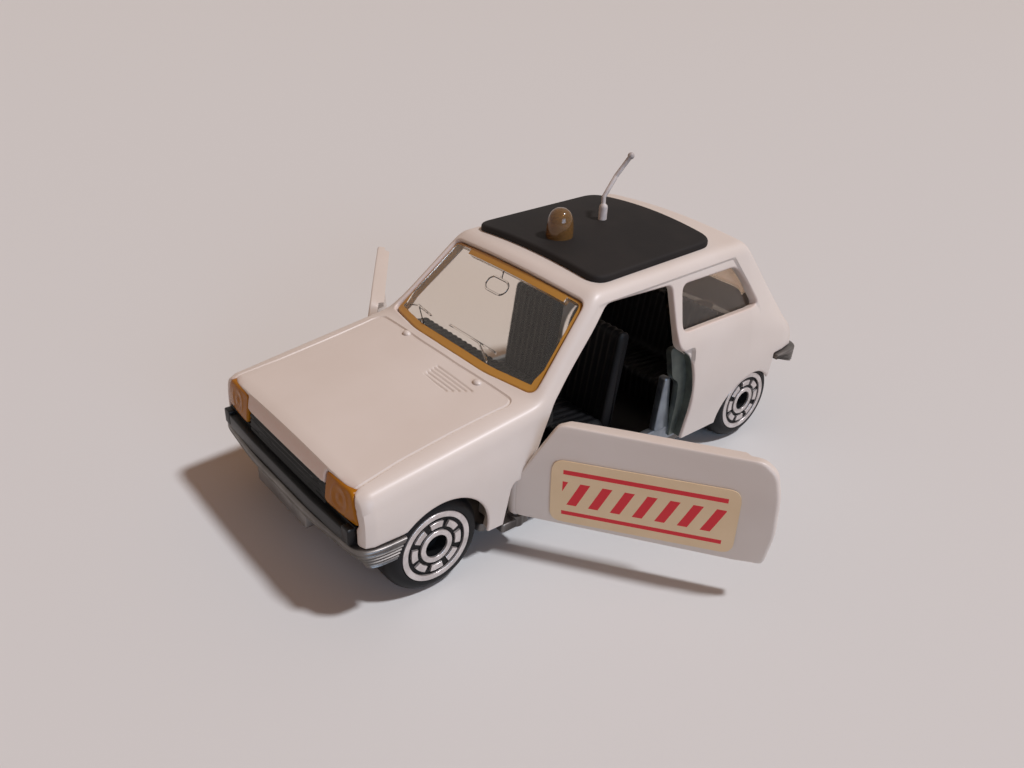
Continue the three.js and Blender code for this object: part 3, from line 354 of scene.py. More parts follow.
def easedCorners(corners, before, after, radius, most, steps):
    # every corner becomes a quadratic curve that starts and ends a radius away from it
    reachIn, reachOut = (
        np.minimum(radius / np.linalg.norm(arm, axis=1), most)[:, None, None] for arm in (before, after))
    t = np.linspace(0, 1, steps)[None, :, None]
    curve = corners[:, None] + before[:, None] * reachIn * (1 - t) ** 2 + after[:, None] * reachOut * t ** 2
    return curve.reshape(-1, 2)


def roundedOutline(corners, radius, steps=6):
    corners = np.asarray(corners, float)
    before, after = np.roll(corners, 1, axis=0) - corners, np.roll(corners, -1, axis=0) - corners
    return easedCorners(corners, before, after, radius, 0.45, steps)


def evenSteps(line, count, endpoint):
    # a line of straight runs walked in equal steps
    run = np.concatenate([[0], np.cumsum(np.linalg.norm(np.diff(line, axis=0), axis=1))])
    at = np.linspace(0, run[-1], count, endpoint=endpoint)
    return np.stack([np.interp(at, run, line[:, 0]), np.interp(at, run, line[:, 1])], axis=1)


def resample(outline, count):
    return evenSteps(np.vstack([outline, outline[:1]]), count, False)


def openPath(corners, radius, count):
    corners = np.asarray(corners, float)
    before, after = corners[:-2] - corners[1:-1], corners[2:] - corners[1:-1]
    curve = easedCorners(corners[1:-1], before, after, radius, 0.48, 10)
    return evenSteps(np.vstack([corners[:1], curve, corners[-1:]]), count, True)


def outlineNormals(outline):
    # unit vectors out of a closed outline, square to the line between a point's neighbours
    along = np.roll(outline, -1, axis=0) - np.roll(outline, 1, axis=0)
    area = np.sum(outline[:, 0] * np.roll(outline[:, 1], -1) - np.roll(outline[:, 0], -1) * outline[:, 1])
    return unit(np.stack([along[:, 1], -along[:, 0]], axis=1) * np.sign(area))


def quarterRound(edge, steps):
    # how far each step of a rounded rim is drawn in from the wall, and how far it lies behind the face
    turn = np.linspace(0, math.pi / 2, steps)
    return edge * (1 - np.sin(turn)), edge * (1 - np.cos(turn))


def slab(outline, low, high, edge, place):
    # an outline carried from low to high, its two rims drawn in along a quarter circle
    drawn, rise = quarterRound(edge, 4)
    inset = np.concatenate([drawn, drawn[::-1]])
    level = np.concatenate([low + rise, high - rise[::-1]])
    flat = outline[None] - outlineNormals(outline)[None] * inset[:, None, None]
    height = np.broadcast_to(level[:, None], flat.shape[:2])
    return sweptPart(np.stack(place(flat[..., 0], flat[..., 1], height), axis=2))


def roundedSlab(corners, radius, low, high, edge, place):
    return slab(roundedOutline(corners, radius), low, high, edge, place)


def lathe(profile, count, place):
    # a profile of (radius, height) turned once round its axis
    profile = np.asarray(profile, float)
    angle = np.linspace(0, 2 * math.pi, count, endpoint=False)
    a, b = profile[:, :1] * np.cos(angle), profile[:, :1] * np.sin(angle)
    h = np.broadcast_to(profile[:, 1:], a.shape)
    return np.stack(place(a, b, h), axis=2).reshape(-1, 3), gridFaces(len(profile), count, True)


def rod(radius, low, high, place):
    return lathe([(0, low), (radius, low), (radius, high), (0, high)], 20, place)


def cushion(outline, rings, edge, front, back):
    # rings shrink from the outline to its middle on the front face and on the back; the front rim is rounded
    middle = (outline.min(axis=0) + outline.max(axis=0)) / 2
    out = outlineNormals(outline)
    drawn, rise = quarterRound(edge, 5)
    share = (np.linspace(0, 1, rings) ** 0.8)[:, None, None]
    faceLoops = middle + (outline - out * edge - middle)[None] * share
    rimLoops = outline[None] - out[None] * drawn[:, None, None]
    loops = np.concatenate([faceLoops, rimLoops])
    depth = np.concatenate([np.zeros(rings), rise])[:, None] + 0 * loops[..., 0]
    backLoops = middle + (outline - middle)[None] * share[::-1]
    facePoints = np.stack(front(loops[..., 0], loops[..., 1], depth), axis=2)
    backPoints = np.stack(back(backLoops[..., 0], backLoops[..., 1]), axis=2)
    points = np.concatenate([facePoints, backPoints])
    return points.reshape(-1, 3), gridFaces(points.shape[0], points.shape[1], True)


def tube(path, radius, count):
    # circles set square to a path, with closed ends
    along = unit(np.gradient(path, axis=0))
    side = unit(np.cross(along, (1.0, 0.0, 0.0)))
    other = np.cross(along, side)
    angle = np.linspace(0, 2 * math.pi, count, endpoint=False)[None, :, None]
    circle = np.cos(angle) * side[:, None] + np.sin(angle) * other[:, None]
    return sweptPart(path[:, None] + radius * circle)


def sideWise(a, b, h):
    return h, a, b  # outline in (y, z), carried along x


def planWise(a, b, h):
    return a, b, h  # outline in (x, y), carried up


def frontWise(a, b, h):
    return a, h, b  # outline in (x, z), carried along y


def standing(x, y, base=0.0, stretch=1.0):
    # a turned shape set upright over a point of the plan
    return lambda a, b, h: (a * stretch + x, b + y, h + base)


# The form of the casting, one section for each place along the car
form = {
    "noseY": -39.4, "tailY": 39.6, "cowlY": -15.5, "headerY": -5.1, "roofRearY": 25.8, "hatchFootY": 37.7,
    "halfWidth": 17.6, "bottom": 5.0, "wall": 1.3, "widestZ": 13.0, "beltZ": 19.9, "sillTuck": 0.8,
    "beltTuck": 0.75, "noseCorner": 2.0, "noseShare": 0.98, "tailCorner": 4.2, "tailShare": 0.95,
    "tailPower": 0.3, "lipZ": 17.4, "chinZ": 13.0, "lean": 0.75, "leanRise": 4.1, "leanMost": 1.2,
    "lipRadius": 0.8, "noseBlend": 8,
    "sideReach": 4.0, "beltReach": 1.4, "railReach": 1.5, "softReach": 1.4, "railShift": 1.4,
}
noseY, tailY, cowlY, headerY = (form[k] for k in ("noseY", "tailY", "cowlY", "headerY"))
roofRearY, hatchFootY, halfWidth = (form[k] for k in ("roofRearY", "hatchFootY", "halfWidth"))
railCowlY, railHeaderY = cowlY + form["railShift"], headerY + form["railShift"]
lines = {
    "taper": [(noseY, 0.98), (-29.1, 0.99), (cowlY, 1), (roofRearY, 1), (tailY, 0.955)],
    "railX": [(noseY, 14.85), (cowlY, 14.85), (railCowlY, 15.65), (railHeaderY, 13.7), (roofRearY, 13.7),
              (hatchFootY, 14.85)],
    "railZ": [(noseY, 17.0), (railCowlY, 20.4), (railHeaderY, 30.3), (roofRearY, 31.0), (hatchFootY, 17.2),
              (tailY, 13.9)],
    "crownZ": [(noseY, 17.4), (cowlY, 20.9), (headerY, 31.0), (3.9, 31.5), (19.8, 32.2), (roofRearY, 31.8),
               (hatchFootY, 17.6), (tailY, 14.4)],
    "beltZ": [(noseY, 16.25), (cowlY, 19.5), (headerY, form["beltZ"]), (roofRearY, form["beltZ"]),
              (hatchFootY, 16.4), (tailY, 13.2)],
}


def chain(y, knots):
    places, values = zip(*knots)
    return np.interp(y, places, values)


def softChain(y, knots):
    # straight runs between the knots, averaged over a short reach so that the corners are eased
    offsets = np.linspace(-1, 1, 9)
    weights = 1 - 0.9 * np.abs(offsets)
    return sum(w * chain(y + o * form["softReach"], knots) for o, w in zip(offsets, weights)) / weights.sum()


def planScale(y):
    # a superellipse closes the nose and the tail in plan, on a slight taper
    fromNose = np.clip((noseY + form["noseCorner"] - y) / form["noseCorner"], 0, 1)
    fromTail = np.clip((y - tailY + form["tailCorner"]) / form["tailCorner"], 0, 1)
    nose = np.sqrt(1 - (form["noseShare"] * fromNose) ** 4)
    tail = (1 - (form["tailShare"] * fromTail) ** 4) ** form["tailPower"]
    return nose * tail * chain(y, lines["taper"])


def endDrop(y):
    # how far the top lies below its lines where it turns over at the nose and at the tail
    lean, radius = form["lean"], form["lipRadius"]
    nose = [(0, form["lipZ"] - form["chinZ"]), (lean, radius / 3), (lean + radius, 0)]
    tail = [(0, radius), (radius / 3, radius / 3), (radius, 0)]
    return chain(y - noseY, nose) + chain(tailY - y, tail)


def railAt(y):
    drop = endDrop(y)
    railX, railZ, crownZ = (softChain(y, lines[key]) for key in ("railX", "railZ", "crownZ"))
    return railX * planScale(y), railZ - drop, crownZ - drop


def topZ(x, y):
    # the crowned top between the rails is a parabola across the car
    railX, railZ, crownZ = railAt(y)
    return railZ + (crownZ - railZ) * (1 - (x / railX) ** 2)


def heightAt(x, y):
    return float(topZ(np.array([x]), np.array([y]))[0])


def sideX(z):
    # straight from the sill out to the widest level, then straight in to the belt
    low = halfWidth - form["sillTuck"]
    lower = low + (halfWidth - low) * (z - form["bottom"]) / (form["widestZ"] - form["bottom"])
    upper = halfWidth - form["beltTuck"] * (z - form["widestZ"]) / (form["beltZ"] - form["widestZ"])
    return np.where(z < form["widestZ"], lower, upper)


def noseSurface(x, z):
    # the front face: whichever lies further back of the leaning nose and the rounded plan, softly joined
    share, blend = form["noseShare"], form["noseBlend"]
    leaning = noseY + form["lean"] * np.clip((z - form["chinZ"]) / form["leanRise"], 0, form["leanMost"])
    width = np.clip(1 - (np.abs(x) / (halfWidth * share)) ** 2, 0, 1) ** 0.25 / share
    rounded = noseY + form["noseCorner"] * (1 - np.minimum(width, 1))
    return np.logaddexp(leaning * blend, rounded * blend) / blend


counts = {"sill": 7, "side": 9, "flank": 6, "belt": 7, "tumble": 18, "rail": 8, "top": 26}


def formGrid(y, topCount):
    # half a section from sill to crown, then its mirror: straight runs joined by quadratic curves
    plan = planScale(y)
    railX, railZ, crownZ = railAt(y)
    beltZ = softChain(y, lines["beltZ"]) - endDrop(y)

    def corner(x, z):
        return np.stack([x, z + 0 * x], axis=1)

    def toward(start, end, reach):
        gap = np.linalg.norm(end - start, axis=1, keepdims=True)
        return start + (end - start) * np.minimum(0.45, reach / gap)

    def run(start, end, count):
        t = np.linspace(0, 1, count, endpoint=False)[None, :, None]
        return start[:, None] * (1 - t) + end[:, None] * t

    def bend(start, middle, end, count):
        t = np.linspace(0, 1, count, endpoint=False)[None, :, None]
        return start[:, None] * (1 - t) ** 2 + 2 * middle[:, None] * t * (1 - t) + end[:, None] * t ** 2

    sill = corner((halfWidth - form["sillTuck"]) * plan, form["bottom"])
    side = corner(halfWidth * plan, np.minimum(form["widestZ"], beltZ - 2))
    belt = corner((halfWidth - form["beltTuck"]) * plan, beltZ)
    rail = corner(railX, railZ)
    tipX = railX - np.minimum(form["railReach"], 0.45 * railX)
    tip = corner(tipX, railZ + (crownZ - railZ) * (1 - (tipX / railX) ** 2))
    sideIn, sideOut = toward(side, sill, form["sideReach"]), toward(side, belt, form["sideReach"])
    beltIn, beltOut = toward(belt, side, form["beltReach"]), toward(belt, rail, form["beltReach"])
    railIn = toward(rail, belt, form["railReach"])
    across = np.linspace(1, 0, topCount)[None, :] * tipX[:, None]
    crown = railZ[:, None] + (crownZ - railZ)[:, None] * (1 - (across / railX[:, None]) ** 2)
    half = np.concatenate([
        run(sill, sideIn, counts["sill"]), bend(sideIn, side, sideOut, counts["side"]),
        run(sideOut, beltIn, counts["flank"]), bend(beltIn, belt, beltOut, counts["belt"]),
        run(beltOut, railIn, counts["tumble"]), bend(railIn, rail, tip, counts["rail"]),
        np.stack([across, crown], axis=2),
    ], axis=1)
    section = np.concatenate([half, half[:, -2::-1] * (-1, 1)], axis=1)
    depth = np.broadcast_to(y[:, None], section.shape[:2])
    return np.stack([section[..., 0], depth, section[..., 1]], axis=2)


def formSkin(y, topCount=counts["top"]):
    # the grid of the form as loose triangles that carry their own normals
    points = formGrid(y, topCount)
    normals = unit(np.cross(np.gradient(points, axis=0), np.gradient(points, axis=1)))
    quads = np.array(gridFaces(points.shape[0], points.shape[1]))
    halves = np.concatenate([quads[:, [2, 3, 0]], quads[:, [1, 2, 0]]])
    return {"co": points.reshape(-1, 3), "nor": normals.reshape(-1, 3), "tri": halves}


def splitAlong(skin, name, level, snap=0.012):
    # every edge that the field crosses at this level gets a new point by straight interpolation
    skin = dict(skin)
    value = skin[name] - level
    near = np.abs(value) < snap
    value[near] = 0
    skin[name] = np.where(near, level, skin[name])
    tri = skin["tri"]
    sign = np.sign(value)[tri]
    crosses = sign * np.roll(sign, -1, axis=1) < 0
    ends = np.sort(np.stack([tri, np.roll(tri, -1, axis=1)], axis=2)[crosses], axis=1)
    pairs, which = np.unique(ends, axis=0, return_inverse=True)
    first, second = pairs[:, 0], pairs[:, 1]
    share = value[first] / (value[first] - value[second])
    middle = np.full(tri.shape, -1)
    middle[crosses] = len(value) + which.ravel()
    for key in [k for k in skin if k != "tri"]:
        array = skin[key]
        weight = share if array.ndim == 1 else share[:, None]
        skin[key] = np.concatenate([array, array[first] + (array[second] - array[first]) * weight])
    made = [tri[~crosses.any(axis=1)]]
    total = crosses.sum(axis=1)
    for k in range(3):
        a, b, c = tri[:, k], tri[:, (k + 1) % 3], tri[:, (k + 2) % 3]
        ab, ca = middle[:, k], middle[:, (k + 2) % 3]
        lone = crosses[:, k] & crosses[:, (k + 2) % 3]
        single = crosses[:, k] & (total == 1)
        made += [np.stack(rows, axis=1)[lone] for rows in ((a, ab, ca), (ab, b, c), (ab, c, ca))]
        made += [np.stack(rows, axis=1)[single] for rows in ((a, ab, c), (ab, b, c))]
    skin["tri"] = np.concatenate(made)
    return skin


def splitAll(skin, name, levels):
    for level in levels:
        skin = splitAlong(skin, name, level)
    return skin


def keepAbove(skin, name, level):
    skin = splitAlong(skin, name, level)
    kept = skin["tri"][skin[name][skin["tri"]].mean(axis=1) > level]
    used, numbers = np.unique(kept, return_inverse=True)
    trimmed = {key: array[used] for key, array in skin.items() if key != "tri"}
    trimmed["tri"] = numbers.reshape(-1, 3)
    return trimmed


def wallPart(skin, outer, inner):
    # the outer and inner skins of a wall, joined by a strip along every open edge
    tri = skin["tri"]
    total = len(outer)
    start, end = tri.ravel(), np.roll(tri, -1, axis=1).ravel()
    loose = ~np.isin(start * total + end, end * total + start)
    a, b = start[loose], end[loose]
    rim = np.concatenate([np.stack([b, a, a + total], axis=1), np.stack([b, a + total, b + total], axis=1)])
    faces = np.concatenate([tri, tri[:, ::-1] + total, rim])
    return np.concatenate([outer, inner]), faces.tolist()


def sunkWall(skin, shallow, deep):
    return wallPart(skin, skin["co"] - skin["nor"] * shallow, skin["co"] - skin["nor"] * deep)


def runDistance(start, end, a, b):
    # squared distance to one straight run
    (a0, b0), (a1, b1) = start, end
    da, db = a1 - a0, b1 - b0
    t = np.clip(((a - a0) * da + (b - b0) * db) / (da * da + db * db + 1e-12), 0, 1)
    return (a - a0 - t * da) ** 2 + (b - b0 - t * db) ** 2


def outlineDistance(outline, a, b):
    # distance to a closed outline, negative inside: the nearest of its runs, with the side told by crossings
    best = np.full(a.shape, np.inf)
    inside = np.zeros(a.shape, bool)
    for start, end in zip(outline, np.roll(outline, -1, axis=0)):
        best = np.minimum(best, runDistance(start, end, a, b))
        (a0, b0), (a1, b1) = start, end
        if b0 != b1:
            inside ^= ((b0 > b) != (b1 > b)) & (a < (a1 - a0) * (b - b0) / (b1 - b0) + a0)
    return np.where(inside, -1, 1) * np.sqrt(best)


def pathDistance(path, a, b):
    # distance to an open line of straight runs
    runs = zip(path[:-1], path[1:])
    return np.sqrt(np.minimum.reduce([runDistance(start, end, a, b) for start, end in runs]))


def rounding(distance, radius):
    # how deep a quarter-round edge lies below the face at this distance from the edge
    short = radius - np.clip(distance, 0, radius)
    return radius - np.sqrt(radius * radius - short * short)


def stepUp(value, low, high):
    t = np.clip((value - low) / (high - low), 0, 1)
    return t * t * (3 - 2 * t)


# Outlines in side view (y, z), front view (x, z) and plan (x, y)
door = {
    "hingeX": 15.9, "hingeY": -16.65, "rearY": 13.65, "top": 19.4, "bottom": 5.4, "hingeTop": 10.8,
    "thickness": 1.2, "ledge": 2.0, "ledgeZ": (18.15, 18.35), "ledgeFrontY": (-11.6, -11.0),
    "ledgeRearY": (8.9, 9.4), "opening": 55.0, "edge": 0.24, "rearEdge": 0.5, "rearEdgeY": (9.5, 12.0),
    "edgeSteps": (0.03, 0.08, 0.15, 0.24, 0.36, 0.5), "noseGap": 0.02, "noseEdge": 0.15, "pinRadius": 0.5,
    "pinLength": 1.3, "margin": 0.4,
}
doorOutline = roundedOutline([
    (door["hingeY"], door["bottom"]), (door["hingeY"], 11.08), (-13.95, 16.0), (-12.05, door["top"]),
    (10.95, door["top"]), (12.6, 18.1), (13.3, 15.4), (door["rearY"], 10.2), (13.15, door["bottom"])], 0.8)
apertureOutline = roundedOutline([
    (-19.33, 4.0), (-18.63, 11.08), (-16.45, 11.08), (-14.25, 16.1), (-12.4, 19.4), (-11.45, 20.3),
    (-1.9, 28.9), (9.95, 28.6), (10.15, 20.3), (12.78, 18.38), (13.48, 15.4), (13.83, 10.2),
    (13.33, 4.0)], 0.9)
quarterOutline = roundedOutline([(11.25, 22.1), (11.95, 28.2), (23.2, 28.3), (28.0, 22.1)], 1.1)
screenOutline = roundedOutline([
    (7.45, -0.9), (14.9, 0), (12.9, 12.87), (-12.9, 12.87), (-14.9, 0), (-7.45, -0.9)], 1.1)
hatchOutline = roundedOutline([(-13.45, 0), (13.45, 0), (12.1, 9.4), (-12.1, 9.4)], 1.2)
lampOutline = roundedOutline([(9.5, 13.0), (15.9, 13.0), (14.8, 16.9), (9.5, 16.9)], 0.7)
screenPlane = {"foot": (-13.8, 20.2), "head": (-4.9, 29.5)}
hatchPlane = {"foot": (34.37, 21.5), "head": (28.28, 28.7)}
axles = {"front": -29.1, "rear": 27.6}
wheelRadius = 6.4
flankX = 9.0  # what lies further out than this is one of the car's sides
farOff = 9.0  # the distance given to points that an outline doesn't concern
planeReach = 3.5  # points further off a leaning plane than this don't concern its outline


def planeCoordinates(plane, co):
    # how far up a leaning plane each point lies from its foot, and how far off the plane
    (footY, footZ), (headY, headZ) = plane["foot"], plane["head"]
    length = math.hypot(headY - footY, headZ - footZ)
    upY, upZ = (headY - footY) / length, (headZ - footZ) / length
    y, z = co[:, 1] - footY, co[:, 2] - footZ
    return y * upY + z * upZ, z * upY - y * upZ


def leaningDistance(outline, plane, co):
    upward, off = planeCoordinates(plane, co)
    return np.where(np.abs(off) < planeReach, outlineDistance(outline, co[:, 0], upward), farOff)


def archOutline(centreY, centreZ, radius):
    # half a circle over two straight legs
    angle = np.linspace(0, math.pi, 40)
    arc = np.stack([centreY + radius * np.cos(angle), centreZ + radius * np.sin(angle)], axis=1)
    return np.vstack([arc, [(centreY - radius, 0), (centreY + radius, 0)]])


bodyCuts = {
    "frontArch": (-28.4, 5.9, 6.7), "rearArch": (27.6, 4.7, 6.6),
    "frontBumper": (-50, -32.5, 0, 10.52), "rearBumper": (33.0, 50, 0, 13.02),
    "grille": (-15.52, 15.52, 0, 15.12), "frontReach": 2.6, "lampGap": 0.12, "edge": 0.26,
    "edgeSteps": (0.03, 0.09, 0.17, 0.26), "wheelFace": 16.98, "wheelReach": 7.8, "thinnest": 0.25,
    "outerX": 12,
}
creases = {
    "shut": [(14.62, -38.6), (14.05, -32.1), (13.98, -25.5), (14.12, -20), (14.3, -17.4), (13.7, -16.5),
             (9.0, -16.75), (4.0, -17.05)],
    "shutWidth": 0.2, "shutDepth": 0.2, "shutCorner": 0.7, "bonnetZ": 15.5, "bonnetY": -12,
    "recess": [(-12.5, 20.0), (-3.6, 28.9), (22.6, 29.55), (28.3, 21.2), (28.3, 18.0), (-12.5, 18.0)],
    "recessDepth": 0.3, "recessEdge": 0.16, "recessZ": 18, "recessFadeZ": (20.2, 23.5),
    "recessFadeY": (-6, -1),
    "notch": [(10.9, 17.2), (10.9, 19.6), (13.2, 19.6), (13.2, 17.2)], "notchCorner": 0.4, "notchZ": 21,
    "notchDepth": 0.5, "notchEdge": 0.15,
    "louvres": [(2.6, -21.3), (7.3, -21.6), (10.1, -18.6), (2.2, -18.7)], "louvrePitch": 0.56,
    "louvreDepth": 0.16, "louvreEdge": 0.2,
}
# where the enamel takes a warmer, darker tone: the middle of the front lip and the edges of the openings on
# the flanks
bodyTone = {
    "lipY": (38.3, 38.9), "lipZ": (14.9, 15.6), "lipX": 9.6, "edge": (-0.3, -0.05), "edgeShare": 0.6,
}
# Each span is where it ends and how many sections it has
stations = {
    "noseFrom": 0.2785, "noseCount": 26, "tailFrom": 0.603, "tailCount": 22, "tailY": 35.5, "least": 0.02,
    "spans": [(-21.8, 34), (-18.4, 36), (-12.8, 20), (-6.8, 15), (-2.4, 15), (22, 48), (28, 18), (35.4, 22)],
    "noseExtra": (0.05, 0.5, 0.62, 0.75, 0.9, 1.1), "tailExtra": (0.6, 0.3, 0.0),
}


def bodyRows():
    # stations along the car, closer where the form turns; at both ends they give equal steps of width
    width = np.linspace(stations["noseFrom"], 1, stations["noseCount"])
    nose = noseY + form["noseCorner"] * (1 - (1 - width ** 2) ** 0.25 / form["noseShare"])
    width = np.linspace(stations["tailFrom"], 1, stations["tailCount"])
    share = (1 - width ** (1 / form["tailPower"])) ** 0.25 / form["tailShare"]
    tail = tailY - form["tailCorner"] * (1 - share)
    rows = [nose, tail[tail > stations["tailY"]]]
    rows += [noseY + np.array(stations["noseExtra"]), tailY - np.array(stations["tailExtra"])]
    low = nose[-1]
    for high, count in stations["spans"]:
        rows.append(np.linspace(low, high, count, endpoint=False))
        low = high
    rows = np.unique(np.concatenate(rows).round(3))
    return rows[np.concatenate([[True], np.diff(rows) > stations["least"]])]


def bodyFields(skin):
    # signed distances to every opening and line, kept with the skin
    co = skin["co"]
    x, y, z = np.abs(co[:, 0]), co[:, 1], co[:, 2]
    flank, front = x > flankX, y < noseY + bodyCuts["frontReach"]
    bonnet = (z > creases["bonnetZ"]) & (y < creases["bonnetY"])

    def inSide(outline, where):
        return np.where(where, outlineDistance(outline, y, z), farOff)

    def inPlan(outline):
        return np.where(bonnet, outlineDistance(outline, co[:, 0], y), farOff)

    lower = [archOutline(*bodyCuts[key]) for key in ("frontArch", "rearArch")]
    lower += [rectangle(*bodyCuts[key]) for key in ("frontBumper", "rearBumper")]
    grilleEdge = outlineDistance(rectangle(*bodyCuts["grille"]), x, z)
    lampEdge = outlineDistance(lampOutline, x, z) - bodyCuts["lampGap"]
    skin["hatch"] = leaningDistance(hatchOutline, hatchPlane, co)
    skin["edge"] = np.minimum.reduce([
        leaningDistance(screenOutline, screenPlane, co), skin["hatch"], inSide(quarterOutline, flank),
        inSide(apertureOutline, flank), *[outlineDistance(outline, y, z) for outline in lower],
        np.where(front, np.minimum(grilleEdge, lampEdge), farOff)])
    shut = creases["shut"] + [(-a, b) for a, b in creases["shut"][::-1]]
    skin["shut"] = inPlan(roundedOutline(shut, creases["shutCorner"]))
    skin["louvre"] = inPlan(np.array(creases["louvres"]))
    skin["recess"] = inSide(np.array(creases["recess"]), flank & (z > creases["recessZ"]))
    notch = roundedOutline(creases["notch"], creases["notchCorner"])
    skin["notch"] = inSide(notch, flank & (z < creases["notchZ"]))
    return skin


def sinkLines(skin):
    # how far the rounded edges, grooves and recesses lie below the plain form
    y, z = skin["co"][:, 1], skin["co"][:, 2]
    sink = rounding(skin["edge"], bodyCuts["edge"])
    sink += creases["shutDepth"] * np.clip(1 - np.abs(skin["shut"]) / creases["shutWidth"], 0, 1)
    wave = 0.5 + 0.5 * np.cos(2 * math.pi * y / creases["louvrePitch"])
    sink += creases["louvreDepth"] * wave ** 2 * np.clip(-skin["louvre"] / creases["louvreEdge"], 0, 1)
    fade = stepUp(z, *creases["recessFadeZ"]) * stepUp(y, *creases["recessFadeY"])
    edge = creases["recessEdge"]
    sink += creases["recessDepth"] * fade * np.clip((edge - skin["recess"]) / (2 * edge), 0, 1)
    edge = creases["notchEdge"]
    return sink + creases["notchDepth"] * np.clip((edge - skin["notch"]) / (2 * edge), 0, 1)


def makeBody():
    whole = bodyFields(formSkin(bodyRows()))
    skin = splitAll(keepAbove(whole, "edge", 0.0), "edge", bodyCuts["edgeSteps"])
    skin = splitAll(skin, "shut", (-creases["shutWidth"], 0.0, creases["shutWidth"]))
    skin = splitAll(skin, "louvre", (-creases["louvreEdge"], 0.0))
    for name in ("recess", "notch"):
        edge = creases[name + "Edge"]
        skin = splitAll(skin, name, (-edge, edge))
    co, nor = skin["co"], skin["nor"]
    x, y, z = np.abs(co[:, 0]), co[:, 1], co[:, 2]
    # the wall is thinner beside the wheels, which leaves them room
    reach = np.minimum.reduce([np.hypot(y - axleY, z - wheelRadius) for axleY in axles.values()])
    thin = np.clip(x - bodyCuts["wheelFace"], bodyCuts["thinnest"], form["wall"])
    wall = np.where((reach < bodyCuts["wheelReach"]) & (x > bodyCuts["outerX"]), thin, form["wall"])
    # the mask of the warmer, darker tone: the front lip's middle and the opening edges on the flanks
    lip = stepUp(-y, *bodyTone["lipY"]) * stepUp(z, *bodyTone["lipZ"]) * (x < bodyTone["lipX"])
    rim = bodyTone["edgeShare"] * stepUp(-skin["edge"], *bodyTone["edge"]) * (x > bodyCuts["outerX"])
    lipAndRimTone = np.clip(np.concatenate([lip + rim, np.zeros(len(co))]), 0, 1)
    part = wallPart(skin, co - nor * sinkLines(skin)[:, None], co - nor * wall[:, None])
    addPiece("body_casting", part, "body", "enamel", ["body_shell"], False, {"lipAndRimTone": lipAndRimTone})
    return whole


bodySkin = makeBody()
print("body casting made")


def flankSkin(outline):
    # the plain form on both sides of the car, inside an outline in side view
    skin = dict(bodySkin)
    co = skin["co"]
    inside = -outlineDistance(outline, co[:, 1], co[:, 2])
    skin["inside"] = np.where(np.abs(co[:, 0]) > flankX, inside, -farOff)
    return keepAbove(skin, "inside", 0.0)


# Small parts of the casting: hinge bosses, walls of the hinge channel, riveted posts and washer nozzles
fittings = {
    "bossRadius": 1.05, "bossZ": (11.08, 13.7), "edge": 0.1,
    "channel": [(-20.23, 5.0), (-19.23, 5.0), (-18.63, 11.08), (-18.63, 17.9), (-19.63, 17.9)],
    "channelX": (13.0, 16.15), "pillar": (13.0, 14.0, -19.6, -14.76), "pillarZ": (5.0, 17.9),
    "posts": [(-32.0, 16.5), (36.2, 14.0)], "postRadius": 1.7,
    "rivet": [(0, 2.94), (1.2, 2.94), (1.7, 3.2), (1.7, 3.5), (1.0, 3.54), (1.0, 4.9), (1.7, 4.95)],
    "nozzles": [(-6.9, -17.3), (8.6, -17.6)], "nozzleStretch": 1.3,
    "nozzle": [(0, -0.1), (0.5, -0.1), (0.5, 0.12), (0.36, 0.3), (0.16, 0.38), (0, 0.4)],
}


def makeFittings():
    radius, edge = fittings["bossRadius"], fittings["edge"]
    parts = [rod(radius, *fittings["bossZ"], standing(s * door["hingeX"], door["hingeY"])) for s in (-1, 1)]
    parts += bothSides(roundedSlab(fittings["channel"], 0.15, *fittings["channelX"], edge, sideWise))
    parts += bothSides(roundedSlab(rectangle(*fittings["pillar"]), 0.3, *fittings["pillarZ"], edge, planWise))
    for y, top in fittings["posts"]:
        profile = fittings["rivet"] + [(fittings["postRadius"], top), (0, top)]
        parts.append(lathe(profile, 28, standing(0, y)))
    for x, y in fittings["nozzles"]:
        place = standing(x, y, heightAt(x, y), fittings["nozzleStretch"])
        parts.append(lathe(fittings["nozzle"], 16, place))
    addPiece("casting_fittings", joinParts(parts), "body", "enamel", ["body_shell"])


makeFittings()


# Doors: the same form inside the door's outline, swung open about the hinge
sides = {"left": 1, "right": -1}


def swing(part, side):
    # turn about the upright hinge line, then mirror for the right-hand door
    points, faces = part
    angle = -math.radians(door["opening"])
    x, y = points[:, 0] - door["hingeX"], points[:, 1] - door["hingeY"]
    turnedX = x * math.cos(angle) - y * math.sin(angle) + door["hingeX"]
    turnedY = x * math.sin(angle) + y * math.cos(angle) + door["hingeY"]
    turned = np.stack([turnedX, turnedY, points[:, 2]], axis=1), faces
    return turned if side > 0 else mirrorPart(turned)


def leftPanel(rows, outline):
    # the form's left side inside an outline in side view, with the distance to the outline
    skin = formSkin(rows)
    skin["half"] = skin["co"][:, 0]
    skin = keepAbove(skin, "half", flankX)
    skin["edge"] = -outlineDistance(outline, skin["co"][:, 1], skin["co"][:, 2])
    return keepAbove(skin, "edge", 0.0)


